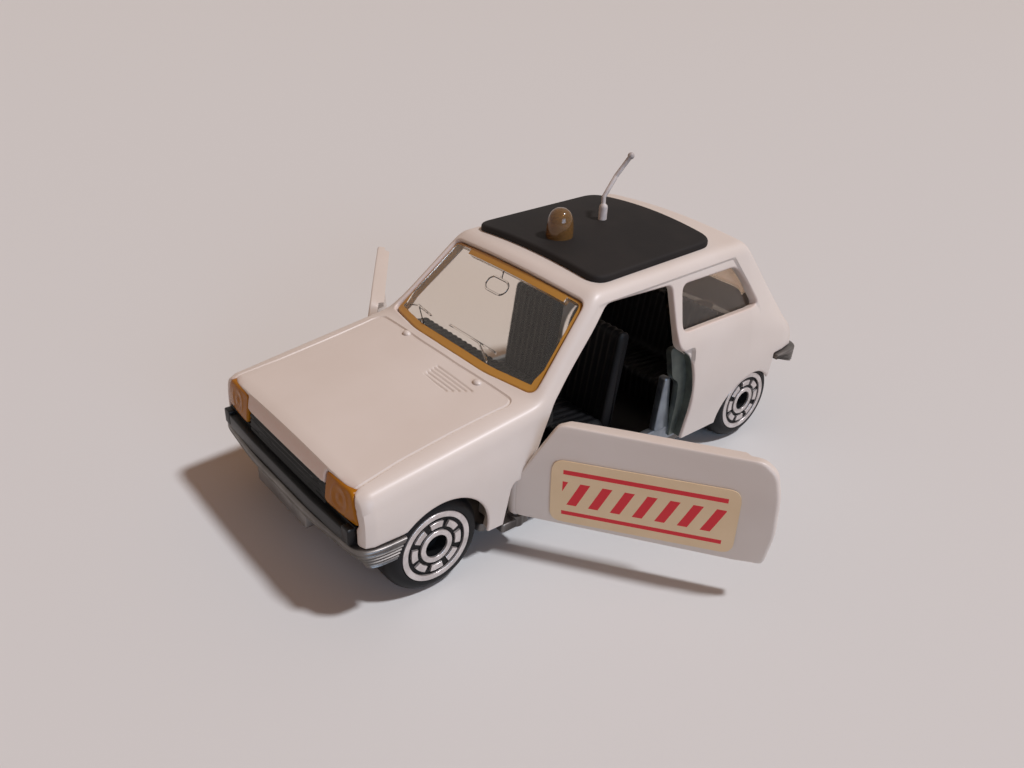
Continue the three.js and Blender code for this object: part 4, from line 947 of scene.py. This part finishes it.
def makeDoors():
    front, rear, margin = door["hingeY"], door["rearY"], door["margin"]
    rows = [np.linspace(front - margin, rear - 2, 80), np.linspace(rear - 1.9, rear + margin, 20)]
    skin = splitAll(leftPanel(np.concatenate(rows), doorOutline), "edge", door["edgeSteps"])
    skin["height"] = skin["co"][:, 2].copy()
    skin = splitAll(skin, "height", door["ledgeZ"])
    co, nor = skin["co"], skin["nor"]
    y, z = co[:, 1], co[:, 2]
    radius = door["edge"] + (door["rearEdge"] - door["edge"]) * stepUp(y, *door["rearEdgeY"])
    outer = co - nor * rounding(skin["edge"], radius)[:, None]
    # the inside is stepped: a thicker ledge runs along the top between the two ends
    ledge = stepUp(z, *door["ledgeZ"]) * stepUp(y, *door["ledgeFrontY"])
    ledge *= 1 - stepUp(y, *door["ledgeRearY"])
    inner = co - nor * (door["thickness"] + (door["ledge"] - door["thickness"]) * ledge)[:, None]
    low, high = door["bottom"], door["hingeTop"]
    lowRadius, highRadius = sideX(np.array([low, high])) - door["hingeX"] - door["noseGap"]
    pin, reach, edge = door["pinRadius"], door["pinLength"], door["noseEdge"]
    profile = [(0, low - reach), (pin, low - reach), (pin, low), (lowRadius - edge, low),
               (lowRadius, low + edge), (highRadius, high - edge), (highRadius - edge, high), (pin, high),
               (pin, high + reach), (0, high + reach)]
    nose = lathe(profile, 28, standing(door["hingeX"], door["hingeY"]))
    part = joinParts([wallPart(skin, outer, inner), nose])
    for name, side in sides.items():
        body = f"{name}_door"
        addPiece(f"{name}_door_casting", swing(part, side), body, "enamel", [body])


label = {
    "frontY": -12.25, "rearY": 9.35, "bottom": 6.3, "top": 15.3, "radius": 1.5, "tilt": 1.2, "lift": 0.07,
    "thickness": 0.11, "margin": 0.8,
}


def makeLabels():
    frontY, rearY, bottom, top = (label[key] for key in ("frontY", "rearY", "bottom", "top"))
    middle = np.array([(frontY + rearY) / 2, (bottom + top) / 2])
    tilt = math.radians(label["tilt"])
    turn = np.array([(math.cos(tilt), math.sin(tilt)), (-math.sin(tilt), math.cos(tilt))])
    corners = (rectangle(frontY, rearY, bottom, top) - middle) @ turn
    outline = roundedOutline(corners, label["radius"]) + middle
    skin = leftPanel(np.linspace(frontY - label["margin"], rearY + label["margin"], 70), outline)
    part = sunkWall(skin, -label["lift"] - label["thickness"], -label["lift"])
    flat = (np.concatenate([skin["co"], skin["co"]])[:, 1:] - middle) @ turn.T
    along, above = flat[:, 0] + (rearY - frontY) / 2, flat[:, 1] + (top - bottom) / 2
    attributes = {"labelAlong": along, "labelAbove": above}
    for name, side in sides.items():
        addPiece(f"{name}_printed_label", swing(part, side), f"{name}_door", "paper",
                 [f"{name}_door_label"], False, attributes)


makeDoors()
makeLabels()
print("doors and labels made")


# Glazing: panes standing in the screen and hatch openings, quarter panes behind the wall
glass = {
    "gap": 0.12, "recess": 0.4, "edge": 0.25, "back": 1.6, "paneBack": 0.75, "wallBack": 1.36,
    "thickness": 0.8,
    "quarter": [(10.4, 20.8), (10.4, 28.5), (24.6, 29.2), (30.0, 20.8)], "quarterCorner": 0.8,
    "screenY": (-15.7, -3.2), "screenRows": 110, "screenColumns": 80, "rimGap": 0.02,
    "wipers": [[(-12.4, 1.6), (-10.8, 2.05), (-7.0, 1.7)], [(-10.8, 2.05), (-7.2, 0.2)],
               [(-2.8, 1.9), (6.6, 1.9)], [(3.4, 1.9), (6.4, 0.4)]],
    "mirror": (0.0, 9.4, 2.0, 1.0), "stemHead": (-0.9, 12.2), "raise": 0.12, "barReach": (0.06, 0.14),
    "sideBand": 0.42, "footBand": 0.95, "footFade": (1.6, 3.2), "headBand": 11.6, "headX": 0.8,
    "headHalf": 9.5,
}


def pane(skin, lift, back):
    sunk = glass["recess"] + rounding(skin["inside"], glass["edge"]) - lift
    return sunkWall(skin, sunk[:, None], back)


def makeScreen():
    skin = formSkin(np.linspace(*glass["screenY"], glass["screenRows"]), glass["screenColumns"])
    skin["inside"] = -leaningDistance(screenOutline, screenPlane, skin["co"]) - glass["gap"]
    skin = splitAlong(keepAbove(skin, "inside", 0.0), "inside", glass["edge"])
    across, upward = skin["co"][:, 0], planeCoordinates(screenPlane, skin["co"])[0]
    headBand = np.minimum(upward - glass["headBand"], glass["headHalf"] - np.abs(across - glass["headX"]))
    band = np.interp(upward, glass["footFade"], (glass["footBand"], glass["sideBand"]))
    skin["rim"] = np.maximum(band - skin["inside"], headBand)
    # the mirror is a ring round a short bar, on a stem; the wipers are straight runs
    middleX, middleUp, halfLong, halfHigh = glass["mirror"]
    beyond = np.maximum(np.abs(across - middleX) - halfLong + halfHigh, 0)
    mirror = np.abs(np.hypot(beyond, upward - middleUp) - halfHigh)
    paths = [[(middleX, middleUp + halfHigh), glass["stemHead"]], *glass["wipers"]]
    skin["bar"] = np.minimum.reduce([mirror] + [pathDistance(path, across, upward) for path in paths])
    skin = splitAll(skin, "bar", glass["barReach"])
    skin["clear"] = -skin["rim"]
    clear, amber = keepAbove(skin, "clear", glass["rimGap"]), keepAbove(skin, "rim", 0.0)
    thin, wide = glass["barReach"]
    lift = glass["raise"] * np.clip((wide - clear["bar"]) / (wide - thin), 0, 1)
    addPiece("screen_rim", pane(amber, 0.0, glass["back"]), "body", "rim", ["glazing"])
    return pane(clear, lift, glass["paneBack"])


def makeGlazing():
    screen = makeScreen()
    skin = dict(bodySkin)
    skin["inside"] = -skin["hatch"] - glass["gap"]
    skin = splitAlong(keepAbove(skin, "inside", 0.0), "inside", glass["edge"])
    hatch = pane(skin, 0.0, glass["back"])
    skin = flankSkin(roundedOutline(glass["quarter"], glass["quarterCorner"]))
    quarters = sunkWall(skin, glass["wallBack"], glass["wallBack"] + glass["thickness"])
    part = joinParts([screen, hatch, quarters])
    addPiece("glazing_moulding", part, "body", "glass", ["glazing"])


makeGlazing()
print("glazing made")


# Headlamps: amber blocks with a turned pattern moulded into the face
lamp = {
    "gap": 0.12, "depth": 3.0, "middle": (12.5, 14.9), "ringPitch": 1.5, "ringDepth": 0.05, "ringReach": 2.0,
    "ringFade": 0.5, "edge": 0.3,
}


def makeLamps():
    ringX, ringZ = lamp["middle"]

    def front(a, b, depth):
        ring = np.hypot(a - ringX, b - ringZ)
        fade = stepUp(lamp["ringReach"] - ring, 0, lamp["ringFade"])
        swell = lamp["ringDepth"] * np.cos(2 * math.pi * ring / lamp["ringPitch"]) * fade
        return a, noseSurface(a, b) + lamp["gap"] + depth - swell, b

    def back(a, b):
        return a, 0 * a + noseY + lamp["depth"], b

    part = cushion(resample(lampOutline, 120), 34, lamp["edge"], front, back)
    for name, lens in zip(sides, bothSides(part)):
        addPiece(f"{name}_lamp_lens", lens, "body", "lamp", [f"{name}_headlamp_lens"])


makeLamps()


# Grille: a slatted face between the lamps over a projecting ledge
grille = {
    "upper": (-9.36, 9.36, 12.2, 14.98), "setBack": 0.45, "depth": 2, "edge": 0.1, "slat": 0.62,
    "slatDepth": 0.1,
    "ledge": [(15.35, -37.5), (15.35, -39.2), (14.6, -39.55), (7.0, -39.85), (-7.0, -39.85), (-14.6, -39.55),
              (-15.35, -39.2), (-15.35, -37.5)],
    "ledgeZ": (10.54, 12.3), "block": (13.9, 15.35, 10.7, 12.75), "blockY": (-39.62, -38.0),
    "band": (-15.3, 15.3, 12.1, 12.86), "bandY": (-38.75, -37.4),
}


def makeGrille():
    def front(a, b, depth):
        wave = grille["slatDepth"] * np.cos(2 * math.pi * b / grille["slat"])
        return a, noseSurface(a, b) + grille["setBack"] + depth - wave, b

    def back(a, b):
        return a, 0 * a + noseY + grille["depth"], b

    outline = resample(roundedOutline(rectangle(*grille["upper"]), 0.3), 200)
    face = cushion(outline, 40, grille["edge"], front, back)
    outline = resample(roundedOutline(grille["ledge"], 0.8), 160)
    ledge = slab(outline, *grille["ledgeZ"], 0.14, planWise)
    block = roundedSlab(rectangle(*grille["block"]), 0.3, *grille["blockY"], 0.15, frontWise)
    band = roundedSlab(rectangle(*grille["band"]), 0.1, *grille["bandY"], 0.08, frontWise)
    part = joinParts([face, ledge, *bothSides(block), band])
    addPiece("grille_moulding", part, "body", "gloss", ["grille"])


makeGrille()
print("front made")


# Bumpers: ribbed low on the face; the front one leans back under its lip
bumpers = {
    "front": {
        "path": [(17.54, -32.7), (17.54, -37.3), (16.6, -39.3), (7.0, -40.2), (-7.0, -40.2), (-16.6, -39.3),
                 (-17.54, -37.3), (-17.54, -32.7)],
        "z": (8.0, 10.4), "undercut": 1.2},
    "rear": {
        "path": [(-17.54, 33.3), (-17.54, 37.6), (-16.4, 39.4), (-7.0, 40.2), (7.0, 40.2), (16.4, 39.4),
                 (17.54, 37.6), (17.54, 33.3)],
        "z": (10.2, 12.9), "undercut": 0.2},
    "corner": 2.2, "thickness": 1.3, "thicker": 0.7, "ribs": 5, "ribDepth": 0.16, "ribPitch": 0.38,
    "topEdge": 0.35, "lowEdge": 0.2, "lip": 0.95, "facing": (1.15, 0.15), "innerShare": 0.2, "archGap": 0.1,
    "archY": -36, "narrowFrom": 38.2, "narrowRun": 4.5, "narrowShare": 0.7, "narrowDrop": 0.1,
}


def bumperRings(end):
    # an upright section with a rounded top and ribs low on its face, carried along the bumper's plan
    (low, high), undercut = end["z"], end["undercut"]
    line = openPath(end["path"], bumpers["corner"], 150)
    along = np.gradient(line, axis=0)
    out = unit(np.stack([along[:, 1], -along[:, 0]], axis=1))
    out *= np.sign(np.sum(out * (line - line.mean(axis=0)), axis=1, keepdims=True))
    height = np.linspace(low, high, 40)
    rib = bumpers["ribDepth"] * (0.5 - 0.5 * np.cos(2 * math.pi * (height - low) / bumpers["ribPitch"]))
    rib = rib * (height < low + bumpers["ribs"] * bumpers["ribPitch"])
    rise = rounding(high - height, bumpers["topEdge"]) + rounding(height - low, bumpers["lowEdge"])
    # 1 where the face looks along the car, falling to 0 on its sides
    gain, loss = bumpers["facing"]
    facing = np.clip(np.abs(out[:, 1:]) * gain - loss, 0, 1) ** 2
    lipZ = high - bumpers["lip"]
    lean = undercut * np.clip((lipZ - height) / (lipZ - low), 0, 1)
    outer = line[:, None] - out[:, None] * (rise + rib + facing * lean)[..., None]
    thick = bumpers["thickness"] + bumpers["thicker"] * facing
    inset = bumpers["innerShare"] * undercut
    innerTop, innerBottom = line - out * (thick + inset * facing), line - out * thick
    flat = np.concatenate([outer, innerTop[:, None], innerBottom[:, None]], axis=1)
    level = np.broadcast_to(np.concatenate([height, [high, low]]), flat.shape[:2])
    return np.concatenate([flat, level[..., None]], axis=2)


def frontBumper():
    # its ends stop short of the wheel arches
    rings = bumperRings(bumpers["front"])
    centreY, centreZ, radius = bodyCuts["frontArch"]
    clear = radius + bumpers["archGap"]
    limit = centreY - np.sqrt(np.maximum(clear ** 2 - (rings[..., 2] - centreZ) ** 2, 0))
    rings[..., 1] = np.minimum(rings[..., 1], np.maximum(limit, bumpers["archY"]))
    return sweptPart(rings)


def rearBumper():
    # it narrows upwards towards its ends
    rings = bumperRings(bumpers["rear"])
    top = bumpers["rear"]["z"][1] - bumpers["narrowDrop"]
    narrow = np.clip((bumpers["narrowFrom"] - rings[..., 1]) / bumpers["narrowRun"], 0, 1)
    rings[..., 2] += (top - rings[..., 2]) * narrow * bumpers["narrowShare"]
    return sweptPart(rings)


# Base casting: floor, valance, rear panel, plate, axle lugs, hinge tabs, sill rails, posts and jambs
base = {
    "z": (3.6, 4.8), "narrow": 10.9, "sill": 15.14, "edge": 0.2,
    "floorY": (-35.0, -22.0, -21.6, 20.5, 20.9, 38.4), "floorCorner": 0.8,
    "valance": [(-38.7, 8.6), (-35.0, 3.6), (-33.4, 3.6), (-37.2, 8.6)],
    "rearPanel": (38.05, 39.0, 3.6, 11.4),
    "plate": (-6.1, 6.1, 7.1, 9.1), "plateY": (-39.85, -38.3), "lugHalf": 1.9, "lugZ": (4.3, 8.2),
    "lugInset": (2, 0.2), "tabRadius": 1.05, "tabGap": 0.28, "foot": (14.14, 16.8, -19.43, -15.18),
    "rail": (-14.25, 14.75, 4.3, 6.8), "railWidth": 1.3,
    "post": [(9.4, 6.6), (10.1, 15.0), (11.2, 15.0), (12.3, 6.6)],
    "jamb": [(9.85, 20.0), (10.45, 15.6), (11.85, 14.4), (12.35, 4.6), (14.75, 4.6), (14.75, 13.0),
             (13.25, 20.0)],
    "jambCorner": 0.6, "jambDepth": (1.42, 2.32),
    "lip": [(13.4, 5.2), (13.83, 10.2), (13.48, 15.4), (12.78, 18.38), (11.4, 19.4)], "lipCorner": 1.2,
    "lipDepth": (0.4, 1.6), "lipGap": (0.01, 0.1),
}


def makeBase():
    narrow, sill, edge, low = base["narrow"], base["sill"], base["edge"], base["z"][0]
    half = list(zip((narrow, narrow, sill, sill, narrow, narrow), base["floorY"]))
    floor = half + [(-x, y) for x, y in half[::-1]]
    parts = [
        roundedSlab(floor, base["floorCorner"], *base["z"], edge, planWise),
        roundedSlab(base["valance"], 0.1, -narrow, narrow, edge, sideWise),
        roundedSlab(rectangle(*base["rearPanel"]), 0.2, -narrow, narrow, edge, sideWise),
        frontBumper(),
        rearBumper(),
        roundedSlab(rectangle(*base["plate"]), 0.3, *base["plateY"], 0.12, frontWise),
    ]
    inner, outer = (narrow - inset for inset in base["lugInset"])
    for y in axles.values():
        block = rectangle(y - base["lugHalf"], y + base["lugHalf"], *base["lugZ"])
        parts += bothSides(roundedSlab(block, 0.5, inner, outer, 0.1, sideWise))
    place = standing(door["hingeX"], door["hingeY"])
    parts += bothSides(rod(base["tabRadius"], low, door["bottom"] - base["tabGap"], place))
    parts += bothSides(roundedSlab(rectangle(*base["foot"]), 0.4, *base["z"], 0.12, planWise))
    addPiece("base_casting", joinParts(parts), "body", "zinc", ["base_plate"])


def makeRails():
    sill = base["sill"]
    inner = sill - base["railWidth"]
    rail = roundedSlab(rectangle(*base["rail"]), 0.5, inner, sill, 0.3, sideWise)
    post = roundedSlab(base["post"], 0.4, inner, sill, 0.25, sideWise)
    part = joinParts(bothSides(rail) + bothSides(post))
    # rails and posts in a brighter, bluish copy of the base's zinc, which paints their reflection
    addPiece("sill_rails", part, "body", "paintedReflectionZinc", ["base_plate"])


def makeJambs():
    # a plate behind the wall, and a lip turned round the aperture's edge: a rectangle carried along that
    # edge; both in a darker copy of the base's zinc, which paints the shade in the doorway
    plate = sunkWall(flankSkin(roundedOutline(base["jamb"], base["jambCorner"])), *base["jambDepth"])
    line = openPath(base["lip"], base["lipCorner"], 60)
    along = np.gradient(line, axis=0)
    inward = unit(np.stack([-along[:, 1], along[:, 0]], axis=1))
    corners = rectangle(*base["lipGap"], *base["lipDepth"])
    flat = line[:, None] + inward[:, None] * corners[None, :, :1]
    across = sideX(flat[..., 1]) - corners[:, 1]
    lip = sweptPart(np.concatenate([across[..., None], flat], axis=2))
    part = joinParts([plate, *bothSides(lip)])
    addPiece("door_jambs", part, "body", "paintedShadeZinc", ["base_plate"])


makeBase()
makeRails()
makeJambs()
print("base made")


# Interior: floor, dashboard, ribbed seats and bench
cabin = {
    "floor": (-13.1, 15.9, 4.98, 5.98), "halfWidth": 13.44,
    "dash": [(-13.1, 5.5), (-13.1, 18.8), (-9.3, 18.4), (-8.7, 13.9), (-11.7, 12.9), (-11.7, 5.5)],
    "dashPitch": 1.1, "dashDepth": 0.3,
    "cushion": [(-4.65, 5.5), (-4.95, 9.6), (3.35, 8.8), (3.35, 5.5)],
    "back": [(2.75, 7.0), (4.75, 21.6), (6.95, 21.2), (4.95, 5.5)],
    "bench": [(15.05, 5.0), (15.05, 10.58), (23.05, 9.78), (24.45, 19.3), (26.65, 19.1), (25.25, 5.0)],
    "benchHalf": 10.4, "seatX": (1.6, 11.2), "backInset": 0.3, "ribPitch": 1.15, "ribDepth": 0.14,
}


def ribbedBlock(corners, radius, low, high, edge, pitch, depth, count):
    # an outline carried across the car, with rounded ends and rows of ribs that follow a cosine
    outline = resample(roundedOutline(corners, radius), 110)
    drawn, rise = quarterRound(edge, 6)
    middle = np.linspace(low + edge, high - edge, count)[1:-1]
    x = np.concatenate([low + rise, middle, high - rise[::-1]])
    inset = np.concatenate([drawn, np.zeros(count - 2), drawn[::-1]])
    inset = inset + depth * (0.5 + 0.5 * np.cos(2 * math.pi * (x - low) / pitch))
    flat = outline[None] - outlineNormals(outline)[None] * inset[:, None, None]
    across = np.broadcast_to(x[:, None], flat.shape[:2])
    return sweptPart(np.stack([across, flat[..., 0], flat[..., 1]], axis=2))


def makeCabin():
    half, bench, inset = cabin["halfWidth"], cabin["benchHalf"], cabin["backInset"]
    left, right = cabin["seatX"]
    ribs = cabin["ribPitch"], cabin["ribDepth"]
    dashRibs = cabin["dashPitch"], cabin["dashDepth"]
    parts = [roundedSlab(rectangle(*cabin["floor"]), 0.1, -half, half, 0.1, sideWise)]
    parts.append(ribbedBlock(cabin["dash"], 0.8, -half, half, 0.4, *dashRibs, 220))
    parts += bothSides(ribbedBlock(cabin["cushion"], 1.3, left, right, 0.7, *ribs, 90))
    parts += bothSides(ribbedBlock(cabin["back"], 1.2, left + inset, right - inset, 0.7, *ribs, 90))
    parts.append(ribbedBlock(cabin["bench"], 1.0, -bench, bench, 0.6, *ribs, 160))
    addPiece("cabin_moulding", joinParts(parts), "body", "cabin", ["interior_tub"])


makeCabin()


# Roof panel, hollow beacon and bent aerial; the whip's knots are offsets from the top of its stem
roof = {
    "panel": [(12.1, -2.3), (11.9, 20.2), (-11.9, 20.2), (-12.1, -2.3)], "radius": 2.4, "seat": 0.06,
    "height": 0.85, "edge": 0.4, "pegRadius": 0.6, "pegLength": 1.2, "pegGap": 0.02,
    "beacon": (0.0, 2.45), "beaconRadius": 1.85, "beaconHeight": 4.6, "beaconWall": 0.4, "beaconFloor": 0.3,
    "beaconLean": 0.06, "aerial": (-1.0, 11.45), "stemRadius": 0.65, "stemHeight": 3.0, "whipRadius": 0.32,
    "stemFoot": [(1, 0), (1, 0.5), (0.92, 0.6)], "stemHead": [(0.92, -0.5), (0.8, -0.2), (0.5, 0), (0, 0)],
    "tipShare": 1.5, "ease": 0.35,
    "knots": [(0, 0, -1), (-0.35, 0.2, 0.8), (-0.5, 2.4, 3.4), (0.4, 4.0, 6.2)],
}


def makeRoofPanel():
    def front(a, b, depth):
        return a, b, topZ(a, b) + roof["seat"] + roof["height"] - depth

    def back(a, b):
        return a, b, topZ(a, b) + roof["seat"]

    outline = resample(roundedOutline(roof["panel"], roof["radius"], 10), 180)
    part = cushion(outline, 40, roof["edge"], front, back)
    addPiece("roof_panel_moulding", part, "body", "matte", ["roof_panel"])


def makeBeacon():
    x, y = roof["beacon"]
    radius, height, wall, sole = (roof["beacon" + key] for key in ("Radius", "Height", "Wall", "Floor"))
    seat = heightAt(x, y + radius) + roof["seat"]
    rise = np.linspace(0, 1, 26)
    # the dome's side leans in slightly and closes as a superellipse
    shrink = (1 - roof["beaconLean"] * rise) * (1 - rise ** 5) ** 0.5
    outer = np.stack([radius * shrink, seat + height * rise], axis=1)
    inner = np.stack([(radius - wall) * shrink, seat + sole + (height - sole - wall) * rise], axis=1)
    place = standing(x, y)
    dome = lathe(np.vstack([[(0, seat)], outer]), 48, place)
    hollow = lathe(np.vstack([[(0, seat + sole)], inner])[::-1], 48, place)
    peg = rod(roof["pegRadius"], seat - roof["pegLength"], seat - roof["pegGap"], place)
    addPiece("beacon_dome", joinParts([dome, hollow, peg]), "body", "amber", ["roof_beacon"])


def makeAerial():
    x, y = roof["aerial"]
    stem, whip, peg = roof["stemRadius"], roof["whipRadius"], roof["pegRadius"]
    seat = heightAt(x, y + stem) + roof["seat"]
    top, foot = seat + roof["stemHeight"], seat - roof["pegLength"]
    profile = [(0, foot), (peg, foot), (peg, seat)]
    profile += [(stem * share, seat + rise) for share, rise in roof["stemFoot"]]
    profile += [(stem * share, top + rise) for share, rise in roof["stemHead"]]
    socket = lathe(profile, 28, standing(x, y))
    knots = np.array(roof["knots"]) + (x, y, top)
    # a smooth whip through the four knots, eased at each of them
    share = np.clip(np.linspace(0, 3, 60)[:, None] - np.arange(3), 0, 1)
    share = stepUp(share, 0, 1) * roof["ease"] + share * (1 - roof["ease"])
    path = knots[0] + np.sum(share[..., None] * np.diff(knots, axis=0), axis=1)
    ball = whip * roof["tipShare"]
    turn = np.linspace(0, math.pi, 14)
    tip = lathe(np.stack([ball * np.sin(turn), -ball * np.cos(turn)], axis=1), 20, standing(*path[-1]))
    part = joinParts([socket, tube(path, whip, 16), tip])
    addPiece("aerial_whip", part, "body", "softGrey", ["aerial"])


makeRoofPanel()
makeBeacon()
makeAerial()
print("cabin and roof made")


# Wheels: a black moulding with a rounded tread, and foil laid on the raised parts of its face
wheels = {
    "face": 16.7,
    "profile": [(0.86, 3.2), (0.86, 1.8), (1.45, 1.8), (1.5, 1.7), (1.5, 0.36), (4.66, 0.36), (4.66, 0.16),
                (4.75, 0.08), (5.1, 0.08), (5.45, 0.2), (5.85, 0.5), (6.15, 0.9), (6.33, 1.4), (6.4, 2.0),
                (6.4, 3.6), (6.33, 4.2), (6.15, 4.7), (5.9, 5.0), (5.5, 4.9), (4.6, 3.2), (0.86, 3.2)],
    "rim": (3.9, 4.6), "hub": (1.5, 2.15), "segment": (2.62, 3.42), "segments": 8, "segmentGap": 0.78,
    "foil": 0.3, "foilEdge": 0.06,
}


def polarBlock(inner, outer, start, end, place, count):
    # a block between two radii and two angles, its front rim rounded; a full turn closes on itself
    drawn, rise = quarterRound(wheels["foilEdge"], 4)
    inset, level = np.concatenate([[0], rise]), np.concatenate([[wheels["foil"]], drawn])
    radii = np.concatenate([inner + inset, (outer - inset)[::-1]])[:, None]
    heights = np.concatenate([level, level[::-1]])[:, None]
    full = end - start > 2 * math.pi - 1e-6
    angle = np.linspace(start, end, count, endpoint=not full)
    a, b = radii * np.cos(angle), radii * np.sin(angle)
    points = np.stack(place(a, b, np.broadcast_to(heights, a.shape)), axis=2)
    rows, columns = a.shape
    faces = gridFaces(rows, columns, full, True)
    if not full:
        index = np.arange(rows * columns).reshape(rows, columns)
        faces += [index[:, 0].tolist(), index[:, -1].tolist()[::-1]]
    return points.reshape(-1, 3), faces


def makeWheel(end, y, name, side):
    def place(a, b, h):
        return side * (wheels["face"] - h), a + y, b + wheelRadius

    wheel, body = f"{end}_{name}_wheel", f"{end}_wheelset"
    addPiece(f"{wheel}_moulding", lathe(wheels["profile"], 96, place), body, "tyre", [wheel])
    turn = 2 * math.pi
    parts = [polarBlock(*wheels[key], 0, turn, place, 96) for key in ("rim", "hub")]
    low, high = wheels["segment"]
    pitch = turn / wheels["segments"]
    gap = wheels["segmentGap"] / (low + high)
    for i in range(wheels["segments"]):
        parts.append(polarBlock(low, high, (i + 0.5) * pitch + gap, (i + 1.5) * pitch - gap, place, 9))
    addPiece(f"{end}_{name}_foil", joinParts(parts), body, "foil", [f"{wheel}_trim"])


for axleEnd, axleY in axles.items():
    for sideName, sideSign in sides.items():
        makeWheel(axleEnd, axleY, sideName, sideSign)
for axleEnd in axles:
    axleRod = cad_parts[f"{axleEnd}_axle"]
    axleRod.data.materials.clear()
    axleRod.data.materials.append(finishes["steel"])
print("wheels made")


# Floor, light and background
studio = {
    "floor": "#cbccca", "floorSize": 6.0, "sky": "#bdb6b2", "fill": "#ffb97c", "fillStrength": 0.26,
    "sun": "#f8f8ff", "sunStrength": 2.6, "sunAngle": 6.0, "sunAzimuth": 38.0, "sunElevation": 60.0,
    "pane": "#b6d8ff", "panePower": 6.4, "paneSize": (0.9, 0.5), "panePlace": (1.3, -0.24, 0.4),
}


def addLight(name, kind, power, code, place):
    # the light shines from its place towards the origin
    data = bpy.data.lights.new(name, kind)
    data.energy = power
    data.color = hexColour(code)[:3]
    light = addObject(name, data)
    light.location = place
    light.rotation_euler = place.to_track_quat("Z", "Y").to_euler()
    return data


def makeFloor():
    half = studio["floorSize"] / 2
    mesh = bpy.data.meshes.new("paperFloor")
    corners = [(-half, -half, 0), (half, -half, 0), (half, half, 0), (-half, half, 0)]
    mesh.from_pydata(corners, [], [(0, 1, 2, 3)])
    look = {"Base Color": hexColour(studio["floor"]), "Roughness": 0.75}
    mesh.materials.append(startMaterial("paleTableTop", look)[0])
    addObject("paperFloor", mesh)


def makeLights():
    toward = direction(studio["sunAzimuth"], studio["sunElevation"])
    sun = addLight("windowLight", "SUN", studio["sunStrength"], studio["sun"], toward)
    sun.angle = math.radians(studio["sunAngle"])
    side = addLight("sidePane", "AREA", studio["panePower"], studio["pane"], Vector(studio["panePlace"]))
    side.shape = "RECTANGLE"
    side.size, side.size_y = studio["paneSize"]


def makeSurround():
    # what the camera, mirrors and clear pieces see is the sky; everything else is lit by the fill
    world = bpy.data.worlds.new("studioSurround")
    world.use_nodes = True
    tree = world.node_tree
    fill = tree.nodes["Background"]
    fill.inputs["Color"].default_value = hexColour(studio["fill"])
    fill.inputs["Strength"].default_value = studio["fillStrength"]
    seen = addNode(tree, "ShaderNodeBackground", {"Color": hexColour(studio["sky"]), "Strength": 1.0})
    ray = addNode(tree, "ShaderNodeLightPath").outputs
    direct = addNode(
        tree, "ShaderNodeMath", {0: ray["Is Camera Ray"], 1: ray["Is Glossy Ray"]}, operation="MAXIMUM")
    shown = addNode(
        tree, "ShaderNodeMath", {0: direct.outputs[0], 1: ray["Is Transmission Ray"]}, operation="MAXIMUM")
    mix = addNode(tree, "ShaderNodeMixShader", {0: shown.outputs[0], 1: fill.outputs[0], 2: seen.outputs[0]})
    tree.links.new(mix.outputs[0], tree.nodes["World Output"].inputs["Surface"])
    bpy.context.scene.world = world
    bpy.context.scene.view_settings.view_transform = "Standard"


makeFloor()
makeLights()
makeSurround()
print("studio made")
